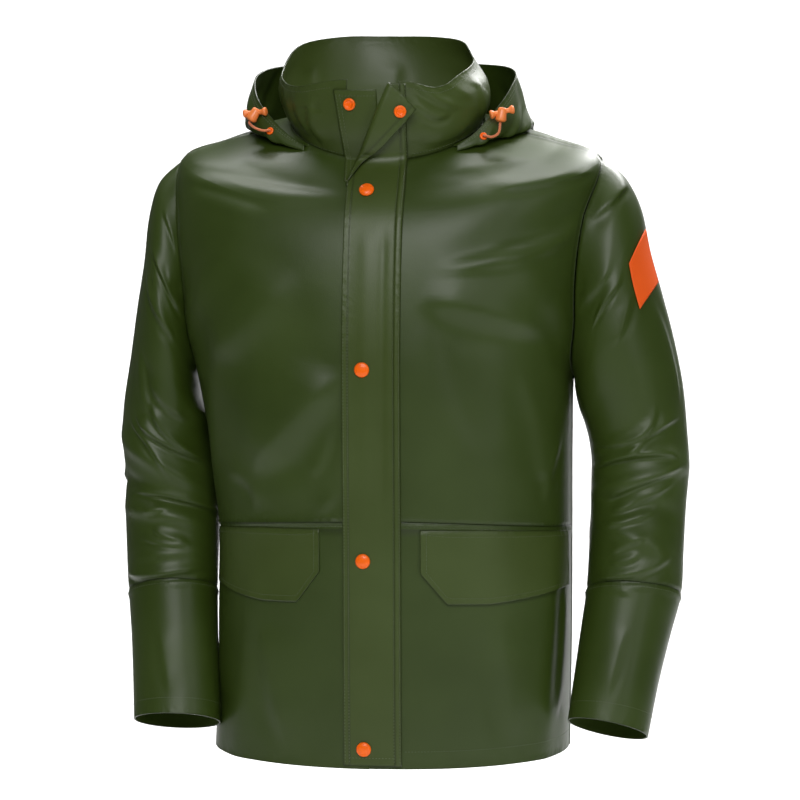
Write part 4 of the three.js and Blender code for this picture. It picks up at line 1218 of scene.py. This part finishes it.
def smooth_route(points, count):
    """A centripetal Catmull-Rom curve through given points."""
    p = np.array(points, dtype=float)
    p = np.concatenate([[2 * p[0] - p[1]], p, [2 * p[-1] - p[-2]]])
    t = np.concatenate([[0], np.cumsum(np.linalg.norm(np.diff(p, axis=0), axis=1) ** 0.5)])
    out = []
    for place in np.linspace(t[1], t[-2], count):
        k = min(max(int(np.searchsorted(t, place, side="right")) - 1, 1), len(p) - 3)
        a, b, c, d = p[k - 1:k + 3]
        t0, t1, t2, t3 = t[k - 1:k + 3]
        ab = a + (b - a) * (place - t0) / (t1 - t0)
        bc = b + (c - b) * (place - t1) / (t2 - t1)
        cd = c + (d - c) * (place - t2) / (t3 - t2)
        abc = ab + (bc - ab) * (place - t0) / (t2 - t0)
        bcd = bc + (cd - bc) * (place - t1) / (t3 - t1)
        out.append(abc + (bcd - abc) * (place - t1) / (t2 - t1))
    return np.array(out)


for hand in ("right", "left"):
    turn, part = EYELET_SPOT[hand]
    spot, n = (v[0] for v in hood_at(np.array([turn]), np.array([part])))
    eyelet = spot + n * EYELET_GAP
    turned("eyelet_" + hand, EYELET, eyelet, n)
    at, body, bar = (np.array(v, dtype=float) for v in LOCK[hand])
    body, bar = unit(body), unit(bar)
    body_points, body_faces = lathe(LOCK_BODY, 28)
    bar_points, bar_faces = lathe(LOCK_BAR, 28)
    points = np.concatenate([stand(body_points, at, body), stand(bar_points, at + body * LOCK_BAR_UP, bar)])
    faces = body_faces + [tuple(v + len(body_points) for v in face) for face in bar_faces]
    lock = make_mesh("cord_lock_" + hand, points, faces)
    lock.data.set_sharp_from_angle(angle=math.radians(50))
    pieces["cord_lock_" + hand] = lock
    root = eyelet + n * (EYELET_FACE + SEAM_GAP)
    mouth = at + body * (LOCK_BODY[0][1] - SEAM_GAP)
    route = [root, root + 2 * n, *CORD_ROUTE[hand], mouth - 2 * body, mouth]
    cord, length = cord_curve("hood_cord_" + hand, smooth_route(route, CORD_POINTS))
    print("cord", hand, "is", round(length * 1000, 1), "mm long")

# %% [markdown]
# ## Stitches
# Each row of topstitching is a line on the cloth. Geometry Nodes cut the line into even steps and set one
# small grain-shaped stitch on each, turned along the line. The tree ends in plain mesh, one piece for each
# group.

# %% Stitch tree
STITCH_PITCH = 3.6
STITCH_LONG = 2.5
STITCH_WIDE = 0.55
STITCH_LIFT = 0.12


def stitch_tree(material):
    """Geometry Nodes that lay stitches along the edges of a mesh."""
    tree = bpy.data.node_groups.new("stitch_rows", "GeometryNodeTree")
    tree.interface.new_socket("Rows", in_out="INPUT", socket_type="NodeSocketGeometry")
    pitch = tree.interface.new_socket("Pitch", in_out="INPUT", socket_type="NodeSocketFloat")
    size = tree.interface.new_socket("Stitch size", in_out="INPUT", socket_type="NodeSocketVector")
    tree.interface.new_socket("Stitches", in_out="OUTPUT", socket_type="NodeSocketGeometry")
    nodes, links = tree.nodes, tree.links
    start, end = nodes.new("NodeGroupInput"), nodes.new("NodeGroupOutput")
    curve = nodes.new("GeometryNodeMeshToCurve")
    even = nodes.new("GeometryNodeResampleCurve")
    even.mode = "LENGTH"
    tangent = nodes.new("GeometryNodeInputTangent")
    align = nodes.new("FunctionNodeAlignRotationToVector")
    align.axis = "X"
    grain = nodes.new("GeometryNodeMeshUVSphere")
    grain.inputs["Segments"].default_value = 5
    grain.inputs["Rings"].default_value = 4
    grain.inputs["Radius"].default_value = 0.5
    lay = nodes.new("GeometryNodeInstanceOnPoints")
    real = nodes.new("GeometryNodeRealizeInstances")
    paint = nodes.new("GeometryNodeSetMaterial")
    paint.inputs["Material"].default_value = material
    links.new(start.outputs["Rows"], curve.inputs["Mesh"])
    links.new(curve.outputs["Curve"], even.inputs["Curve"])
    links.new(start.outputs["Pitch"], even.inputs["Length"])
    links.new(tangent.outputs["Tangent"], align.inputs["Vector"])
    links.new(even.outputs["Curve"], lay.inputs["Points"])
    links.new(grain.outputs["Mesh"], lay.inputs["Instance"])
    links.new(align.outputs["Rotation"], lay.inputs["Rotation"])
    links.new(start.outputs["Stitch size"], lay.inputs["Scale"])
    links.new(lay.outputs["Instances"], real.inputs["Geometry"])
    links.new(real.outputs["Geometry"], paint.inputs["Geometry"])
    links.new(paint.outputs["Geometry"], end.inputs["Stitches"])
    return tree, pitch.identifier, size.identifier


def stitches(name, rows):
    """One piece of stitches along rows of points in millimetres."""
    points, edges, count = [], [], 0
    for row in rows:
        points.append(row)
        edges += [(count + k, count + k + 1) for k in range(len(row) - 1)]
        count += len(row)
    mesh = bpy.data.meshes.new(name + "_rows")
    mesh.from_pydata((np.concatenate(points) * MM).tolist(), edges, [])
    guide = bpy.data.objects.new(name + "_rows", mesh)
    bpy.context.scene.collection.objects.link(guide)
    modifier = guide.modifiers.new("stitches", "NODES")
    modifier.node_group = stitch_nodes
    modifier[pitch_input] = STITCH_PITCH * MM
    modifier[size_input] = (STITCH_LONG * MM, STITCH_WIDE * MM, STITCH_WIDE * MM)
    bpy.context.view_layer.update()
    graph = bpy.context.evaluated_depsgraph_get()
    made = bpy.data.meshes.new_from_object(guide.evaluated_get(graph))
    bpy.data.objects.remove(guide)
    thing = bpy.data.objects.new(name, made)
    made.name = name
    made.polygons.foreach_set("use_smooth", [True] * len(made.polygons))
    bpy.context.scene.collection.objects.link(thing)
    pieces[name] = thing
    print(name, len(made.polygons), "faces")
    return thing


# %% [markdown]
# ## Finishes
# The cloth is polyurethane on a knit: smooth, satin, with wide soft reflections. Its colour shifts slightly
# from panel to panel, and it is puckered beside a seam. Painted shade darkens the colour in the seam grooves,
# beside the welts and along the free edges. Two node groups hold what several finishes
# share: a fine grain, and the loose ripples that sewing leaves. Shaders stay in the materials.

# %% Node groups
def new_group(name, outputs, inputs):
    """An empty shader group with its sockets."""
    tree = bpy.data.node_groups.new(name, "ShaderNodeTree")
    for label, kind, value in inputs:
        socket = tree.interface.new_socket(label, in_out="INPUT", socket_type=kind)
        if value is not None:
            socket.default_value = value
    for label, kind in outputs:
        tree.interface.new_socket(label, in_out="OUTPUT", socket_type=kind)
    return tree, tree.nodes.new("NodeGroupInput"), tree.nodes.new("NodeGroupOutput")


def math_node(tree, operation, first, second):
    """A math node. A number or a socket may be given on either side."""
    node = tree.nodes.new("ShaderNodeMath")
    node.operation = operation
    for socket, value in zip(node.inputs, (first, second)):
        if isinstance(value, (int, float)):
            socket.default_value = value
        else:
            tree.links.new(value, socket)
    return node.outputs[0]


def noise(tree, vector, scale, detail=3.0, rough=0.55):
    """A noise texture on a vector socket."""
    node = tree.nodes.new("ShaderNodeTexNoise")
    node.inputs["Scale"].default_value = scale
    node.inputs["Detail"].default_value = detail
    node.inputs["Roughness"].default_value = rough
    tree.links.new(vector, node.inputs["Vector"])
    return node.outputs["Fac"]


def grain_group():
    """Height of a fine grain, and a slow mask that varies over a hand's breadth."""
    tree, start, end = new_group(
        "cloth_grain", [("Height", "NodeSocketFloat"), ("Cloud", "NodeSocketFloat")],
        [("Vector", "NodeSocketVector", None), ("Grain", "NodeSocketFloat", 1.0)])
    fine = noise(tree, start.outputs["Vector"], 900, 2.0)
    broad = noise(tree, start.outputs["Vector"], 60, 3.0)
    scaled = math_node(tree, "MULTIPLY", fine, start.outputs["Grain"])
    broad = math_node(tree, "MULTIPLY", broad, 1.5)
    tree.links.new(math_node(tree, "ADD", scaled, broad), end.inputs["Height"])
    tree.links.new(noise(tree, start.outputs["Vector"], 9, 2.0), end.inputs["Cloud"])
    return tree


def pucker_group():
    """Height of the ripples beside a seam: they fade with the seam attribute."""
    tree, start, end = new_group(
        "seam_pucker", [("Height", "NodeSocketFloat")],
        [("Vector", "NodeSocketVector", None), ("Seam", "NodeSocketFloat", 0.0)])
    ripple = noise(tree, start.outputs["Vector"], 130, 1.0, 0.4)
    near = math_node(tree, "POWER", start.outputs["Seam"], 1.3)
    tree.links.new(math_node(tree, "MULTIPLY", ripple, near), end.inputs["Height"])
    return tree


cloth_grain, seam_pucker = grain_group(), pucker_group()
print("node groups:", cloth_grain.name, seam_pucker.name)

# %% Materials
def new_material(name, **sockets):
    """A material with the values that are the same all over set on its shader."""
    material = bpy.data.materials.new(name)
    material.use_nodes = True
    shader = material.node_tree.nodes["Principled BSDF"]
    for label, value in sockets.items():
        shader.inputs[label.replace("_", " ")].default_value = value
    return material, material.node_tree, shader


def attribute(tree, name):
    """A stored number of the piece."""
    node = tree.nodes.new("ShaderNodeAttribute")
    node.attribute_name = name
    return node.outputs["Fac"]


def mixed_colour(tree, factor, first, second):
    """A colour between two, by a factor."""
    node = tree.nodes.new("ShaderNodeMix")
    node.data_type = "RGBA"
    tree.links.new(factor, node.inputs["Factor"])
    for socket, value in zip((node.inputs[6], node.inputs[7]), (first, second)):
        if isinstance(value, tuple):
            socket.default_value = (*value, 1)
        else:
            tree.links.new(value, socket)
    return node.outputs[2]


def spread_range(tree, value, low, high):
    """A 0 to 1 value spread between two numbers."""
    node = tree.nodes.new("ShaderNodeMapRange")
    node.inputs["From Min"].default_value = 0.3
    node.inputs["From Max"].default_value = 0.7
    node.inputs["To Min"].default_value = low
    node.inputs["To Max"].default_value = high
    tree.links.new(value, node.inputs["Value"])
    return node.outputs["Result"]


def place_group(tree, group, **wires):
    """A node group with its inputs wired or set."""
    node = tree.nodes.new("ShaderNodeGroup")
    node.node_tree = group
    for label, value in wires.items():
        if isinstance(value, (int, float)):
            node.inputs[label].default_value = value
        else:
            tree.links.new(value, node.inputs[label])
    return node


def bump(tree, shader, height, distance, strength=1.0):
    """A bump from a height to the shader."""
    node = tree.nodes.new("ShaderNodeBump")
    node.inputs["Distance"].default_value = distance
    node.inputs["Strength"].default_value = strength
    tree.links.new(height, node.inputs["Height"])
    tree.links.new(node.outputs["Normal"], shader.inputs["Normal"])


def coated_cloth(name, light, dark, smooth, rough):
    """Satin coated cloth."""
    material, tree, shader = new_material(
        name, IOR=1.5, Coat_Weight=0.06, Coat_Roughness=0.3, Specular_IOR_Level=0.34)
    place = tree.nodes.new("ShaderNodeTexCoord").outputs["Object"]
    grain = place_group(tree, cloth_grain, Vector=place, Grain=1.0)
    seam, edge = attribute(tree, "seam"), attribute(tree, "edge")
    pucker = place_group(tree, seam_pucker, Vector=place, Seam=math_node(tree, "MAXIMUM", seam, edge))
    cloud = spread_range(tree, grain.outputs["Cloud"], 0.0, 1.0)
    base = mixed_colour(tree, cloud, dark, light)
    # Painted shade: the colour darkens close to a seam, in the sunk groove where shade falls.
    sunk = math_node(tree, "MULTIPLY", math_node(tree, "POWER", seam, 7.0), 0.8)
    shaded = mixed_colour(tree, sunk, base, tuple(c * 0.35 for c in dark))
    # Painted shade: thin dark lines beside the welt edges and along the placket's stitch grooves, where shade
    # falls.
    line = math_node(tree, "MULTIPLY", attribute(tree, "line"), 0.55)
    lined = mixed_colour(tree, line, shaded, tuple(c * 0.3 for c in dark))
    # Painted shadow: the colour darkens at each free edge, standing in for the thin shadow an edge casts.
    rim = math_node(tree, "MULTIPLY", math_node(tree, "POWER", edge, 12.0), 0.6)
    colour = mixed_colour(tree, rim, lined, tuple(c * 0.35 for c in dark))
    tree.links.new(colour, shader.inputs["Base Color"])
    tree.links.new(spread_range(tree, grain.outputs["Cloud"], smooth, rough), shader.inputs["Roughness"])
    total = math_node(tree, "ADD", math_node(tree, "MULTIPLY", grain.outputs["Height"], 0.10),
                      math_node(tree, "MULTIPLY", pucker.outputs["Height"], 1.1))
    bump(tree, shader, total, 0.0011)
    return material


def knit_backing():
    """The grey knit on the cloth's inner face, dull, mottled and a little rough."""
    material, tree, shader = new_material("knit_backing", Sheen_Weight=0.3, Specular_IOR_Level=0.25)
    place = tree.nodes.new("ShaderNodeTexCoord").outputs["Object"]
    grain = place_group(tree, cloth_grain, Vector=place, Grain=4.0)
    tree.links.new(mixed_colour(tree, grain.outputs["Cloud"], (0.085, 0.088, 0.095), (0.14, 0.145, 0.155)),
                   shader.inputs["Base Color"])
    tree.links.new(spread_range(tree, grain.outputs["Cloud"], 0.75, 0.9), shader.inputs["Roughness"])
    bump(tree, shader, grain.outputs["Height"], 0.0006)
    return material


def plain_piece(name, light, dark, rough, scale, depth, **sockets):
    """Plastic, cord and thread: two close colours, a roughness that varies, and a slight grain."""
    material, tree, shader = new_material(name, **sockets)
    place = tree.nodes.new("ShaderNodeTexCoord").outputs["Object"]
    mask = noise(tree, place, scale, 3.0)
    tree.links.new(mixed_colour(tree, mask, dark, light), shader.inputs["Base Color"])
    tree.links.new(spread_range(tree, mask, rough - 0.05, rough + 0.08), shader.inputs["Roughness"])
    bump(tree, shader, mask, depth)
    return material


def braided_cord():
    """The cord's braid: two sets of slanting waves round and along the cord."""
    material, tree, shader = new_material("orange_cord", Sheen_Weight=0.2, Specular_IOR_Level=0.3)
    place = tree.nodes.new("ShaderNodeTexCoord").outputs["Object"]
    waves = []
    for slant in (1.0, -1.0):
        mapping = tree.nodes.new("ShaderNodeMapping")
        mapping.inputs["Rotation"].default_value = (0, slant * 0.8, 0.3)
        tree.links.new(place, mapping.inputs["Vector"])
        wave = tree.nodes.new("ShaderNodeTexWave")
        wave.inputs["Scale"].default_value = 260
        tree.links.new(mapping.outputs["Vector"], wave.inputs["Vector"])
        waves.append(wave.outputs["Fac"])
    braid = math_node(tree, "MAXIMUM", *waves)
    colour = mixed_colour(tree, braid, (0.42, 0.10, 0.03), (0.78, 0.24, 0.10))
    tree.links.new(colour, shader.inputs["Base Color"])
    tree.links.new(spread_range(tree, braid, 0.6, 0.75), shader.inputs["Roughness"])
    bump(tree, shader, braid, 0.0003)
    return material


olive = coated_cloth("olive_coated_cloth", (0.034, 0.057, 0.007), (0.026, 0.045, 0.004), 0.40, 0.48)
olive_trim = coated_cloth("olive_trim_cloth", (0.047, 0.072, 0.013), (0.038, 0.059, 0.008), 0.38, 0.46)
knit = knit_backing()
snap_orange = plain_piece("orange_snap_plastic", (0.98, 0.15, 0.001), (0.90, 0.12, 0.001), 0.32, 260, 0.00008,
                          Coat_Weight=0.2, Coat_Roughness=0.15, Specular_IOR_Level=0.3)
lock_orange = plain_piece("orange_lock_plastic", (0.92, 0.26, 0.06), (0.80, 0.19, 0.035), 0.38, 260, 0.00008,
                          Coat_Weight=0.15, Coat_Roughness=0.2)
cord_orange = braided_cord()
badge_orange = plain_piece("orange_badge_cloth", (0.86, 0.11, 0.006), (0.76, 0.09, 0.005), 0.6, 900, 0.00025,
                           Specular_IOR_Level=0.3)
thread = plain_piece("olive_thread", (0.12, 0.15, 0.085), (0.085, 0.11, 0.055), 0.55, 700, 0.0001)
stitch_nodes, pitch_input, size_input = stitch_tree(thread)
print("materials:", len(bpy.data.materials))

# %% [markdown]
# ## Rows of topstitching
# The rows follow the seams at the distances the coat shows: one beside each armhole and below the waist seam,
# one above the hem and the cuffs, and two down each edge of the placket.

# %% Stitch rows
def shell_row(turns, rises, lift=STITCH_LIFT):
    """A row on the trunk or the collar."""
    turns, rises = np.broadcast_arrays(np.asarray(turns, float), np.asarray(rises, float))
    return shell(turns, rises) + shell_normal(turns, rises) * lift


def level_row(turns, rise, below, lift=STITCH_LIFT):
    """A row that keeps a distance in height below a ring of the trunk."""
    z = height(turns, np.full_like(turns, float(rise))) - below
    return shell_row(turns, rise_at(z, NECK, lambda row: turns), lift)


def placket_row(x, start, end, count=220):
    """A row down the placket's flat part."""
    z = np.linspace(start, end, count)
    p, n = front_point(np.full_like(z, x), z, placket_lift(x, z) + STITCH_LIFT)
    return p


def sleeve_row(side, at, lift=STITCH_LIFT):
    """A row round a sleeve."""
    band = sleeve(side, phis, np.array([at - 0.05, at, at + 0.05]))
    n = sleeve_normals(side, band)[:, 1]
    row = band[:, 1] + n * lift
    return np.concatenate([row, row[:1]])


left_turns = np.linspace(9, 89, 160)
right_turns = np.linspace(-11, -89, 160)
back_turns = np.linspace(91, 269, 330)
HEM_UP = 20
WAIST_DOWN = 5
ON_WELT = WELT_LIFT + STITCH_LIFT
trunk_stitches = [level_row(t, WAIST, WAIST_DOWN, ON_WELT) for t in (left_turns, right_turns)]
trunk_stitches += [level_row(t, 0, -HEM_UP) for t in (left_turns, right_turns, back_turns)]
for side in (-1, 1):
    phi = np.linspace(2, 178, 120)
    turn = side * (90 - (ARMHOLE_OPEN + 1.5) * np.sin(np.radians(phi)))
    rise = ARMHOLE_MIDDLE + (ARMHOLE_REACH + 0.05) * np.cos(np.radians(phi))
    trunk_stitches.append(shell_row(turn, rise, ON_WELT))
    trunk_stitches.append(shell_row(side * 180 - turn, rise, ON_WELT))
stitches("trunk_stitches", trunk_stitches)

placket_stitches = [placket_row(x, HEM_Z + 8, -62) for x in (PLACKET_LEFT + 6.5, PLACKET_LEFT + 1.8)]
placket_stitches += [placket_row(x, HEM_Z + 8, 60) for x in (PLACKET_RIGHT - 1.8, PLACKET_RIGHT - 8.5)]
placket_stitches.append(front_point(np.linspace(-24, 28, 60), np.full(60, HEM_Z + 12.0),
                                    np.full(60, LAY_GAP + PLACKET_WALL + STITCH_LIFT))[0])
stitches("placket_stitches", placket_stitches)

sleeve_stitches = []
for side in (-1, 1):
    sleeve_stitches += [sleeve_row(side, FOREARM_SEAM + 0.11, ON_WELT), sleeve_row(side, CUFF - 0.42)]
stitches("sleeve_stitches", sleeve_stitches)

flap_stitches = []
for side in (-1, 1):
    run = np.concatenate([np.full(20, 0.03), np.linspace(0.03, 0.16, 16), np.linspace(0.16, 0.985, 90)])
    fall = np.concatenate([np.linspace(0.06, 0.86, 20), np.linspace(0.86, 0.92, 16), np.full(90, 0.92)])
    lift = LAY_GAP + PLACKET_WALL + STITCH_LIFT
    flap_stitches.append(flap_points(side, run, fall, lift)[0])
    across = np.linspace(0.03, 0.985, 100)
    flap_stitches.append(flap_points(side, across, np.full(100, 0.09), lift)[0])
stitches("flap_stitches", flap_stitches)

rim_turns = np.linspace(22, 338, 340)
rim_rise = RIM - 0.28
collar_stitches = [shell_row(rim_turns, rim_rise), shell_row(rim_turns, NECK + 0.16)]
tab_rows = np.linspace(-40, 50, 50)
for shift in (3.0, 8.0):
    left = TAB_LEFT_LOW + (TAB_LEFT - TAB_LEFT_LOW) * (tab_rows - TAB_BOTTOM) / (TAB_TOP - TAB_BOTTOM) + shift
    collar_stitches.append(front_point(left, tab_rows, np.full(50, TAB_LIFT + STITCH_LIFT))[0])
across = np.linspace(TAB_LEFT + 4, TAB_RIGHT - 3, 40)
on_tab = np.full(40, TAB_LIFT + STITCH_LIFT)
collar_stitches.append(front_point(across, np.full(40, TAB_TOP - 7.0), on_tab)[0])
stitches("collar_stitches", collar_stitches)

hood_rows = []
for part, start, end in ((2.82, 52, 308), (2.7, 52, 308)):
    turns = np.linspace(start, end, 320)
    p, n = hood_points(turns, np.array([part - 0.02, part, part + 0.02]))
    hood_rows.append(p[:, 1] + n[:, 1] * STITCH_LIFT)
for turn in (HOOD_SEAM - 2.2, 360 - HOOD_SEAM + 2.2):
    p, n = hood_points(np.array([turn - 0.5, turn, turn + 0.5]), np.linspace(0.7, 2.95, 120))
    hood_rows.append(p[1] + n[1] * STITCH_LIFT)
stitches("hood_stitches", hood_rows)

badge_frame = on_badge(whole) + badge_n * (LAY_GAP + BADGE_WALL + 0.5 + STITCH_LIFT)
rim = np.concatenate([badge_frame[1:-1, 1], badge_frame[-2, 1:-1],
                      badge_frame[-2:0:-1, -2], badge_frame[1, -2:0:-1]])
stitches("badge_stitches", [np.concatenate([rim, rim[:1]])])

# %% [markdown]
# ## Materials onto pieces, and pieces onto the frame
# Each piece stands for its solid and rides with the coat's one body. The table lists the flat size each cloth
# piece was cut to, measured round and along the piece; only its names are read.

# %% Dress and attach
TRIM = ("storm_placket", "neck_tab", "pocket_flap_right", "pocket_flap_left", "collar")
CUT = {
    "front_lower_right": (0.30, 0.30, 0.090), "front_lower_left": (0.32, 0.30, 0.096),
    "front_upper_right": (0.33, 0.62, 0.150), "front_upper_left": (0.34, 0.63, 0.155),
    "back": (0.61, 0.88, 0.450), "collar": (0.69, 0.11, 0.060),
    "sleeve_upper_right": (0.59, 0.54, 0.185), "sleeve_upper_left": (0.61, 0.54, 0.195),
    "sleeve_lower_right": (0.35, 0.18, 0.056), "sleeve_lower_left": (0.36, 0.19, 0.058),
    "hood_side_left": (0.35, 0.36, 0.048), "hood_side_right": (0.36, 0.35, 0.047),
    "hood_centre": (0.24, 0.44, 0.068),
    "storm_placket": (0.085, 0.83, 0.068), "neck_tab": (0.056, 0.125, 0.007),
    "pocket_flap_right": (0.215, 0.085, 0.0155), "pocket_flap_left": (0.24, 0.085, 0.0175),
    "sleeve_badge": (0.064, 0.062, 0.0039),
}


def paint(name, material, slot, lining=None):
    """Material, body and the solid that the piece stands for. The slot argument is not used."""
    thing = pieces[name]
    thing.data.materials.clear()
    thing.data.materials.append(material)
    if lining is not None:
        thing.data.materials.append(lining)
    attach(thing, "root")
    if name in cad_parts:
        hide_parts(name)


for name in CUT:
    if name == "sleeve_badge":
        paint(name, badge_orange, "badge_fabric", badge_orange)
    else:
        finish = olive_trim if name in TRIM else olive
        paint(name, finish, "shell_fabric", finish if name == "collar" else knit)
for name in pieces:
    if name.startswith(("snap_", "eyelet_")):
        paint(name, snap_orange, "snap_plastic")
    elif name.startswith("cord_lock"):
        paint(name, lock_orange, "snap_plastic")
    elif name.startswith("hood_cord"):
        paint(name, cord_orange, "cord")
    elif name.endswith("stitches"):
        paint(name, badge_orange if name.startswith("badge") else thread,
              "badge_fabric" if name.startswith("badge") else "shell_fabric")
missing = set(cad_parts) - set(pieces)
print("pieces", len(pieces), "solids with no piece:", missing)

# %% [markdown]
# ## Floor and light
# A pale floor runs up into a pale wall far behind the coat. The light is a large soft box in front, a second
# from the right and behind that gives the coat its white shoulder, a narrow one at the right that rims the
# sleeve, and a wide one that lights the wall.

# %% Floor
FLOOR_Z = -1.05
BACKDROP = 2.6
BACKDROP_BEND = 1.6
FLOOR_HALF = 1.7


def floor():
    """A floor that curves up into a wall behind."""
    profile = [(-2.2, 0.0), (BACKDROP, 0.0)]
    for a in np.linspace(0.1, math.pi / 2, 14):
        profile.append((BACKDROP + BACKDROP_BEND * math.sin(a), BACKDROP_BEND * (1 - math.cos(a))))
    profile.append((BACKDROP + BACKDROP_BEND, 2.5))
    points = [(x, y, FLOOR_Z + z) for x in (-FLOOR_HALF, FLOOR_HALF) for y, z in profile]
    count = len(profile)
    faces = [(k, count + k, count + k + 1, k + 1) for k in range(count - 1)]
    thing = make_mesh("floor", np.array(points) / MM, faces)
    material, tree, shader = new_material("pale_floor", Roughness=0.9, Specular_IOR_Level=0.1)
    shader.inputs["Base Color"].default_value = (0.93, 0.93, 0.93, 1)
    thing.data.materials.append(material)
    return thing


floor()

# %% Lights
def soft_box(name, place, target, size, power, tint=(1, 1, 1)):
    """A rectangular light aimed at a point."""
    data = bpy.data.lights.new(name, "AREA")
    data.shape = "RECTANGLE"
    data.size, data.size_y = size
    data.energy = power
    data.color = tint
    thing = bpy.data.objects.new(name, data)
    bpy.context.scene.collection.objects.link(thing)
    thing.location = place
    thing.rotation_euler = (Vector(target) - Vector(place)).to_track_quat("-Z", "Y").to_euler()
    return thing


soft_box("front_box", (0.25, -3.4, 1.7), (0, 0, -0.3), (2.2, 1.4), 92)
soft_box("right_back_box", (1.0, 1.9, 1.45), (0.2, 0, -0.1), (1.0, 0.9), 60)
soft_box("right_front_box", (2.6, -2.4, 0.6), (0, 0, -0.3), (0.8, 2.2), 14)
soft_box("wall_light", (0, 1.0, 3.2), (0, 4.2, 0.0), (4.0, 1.5), 300)
world = bpy.data.worlds.new("studio")
bpy.context.scene.world = world
world.use_nodes = True
world.node_tree.nodes["Background"].inputs["Color"].default_value = (1, 1, 1, 1)
world.node_tree.nodes["Background"].inputs["Strength"].default_value = 0.1
bpy.context.scene.view_settings.view_transform = "Standard"
print("lights set")
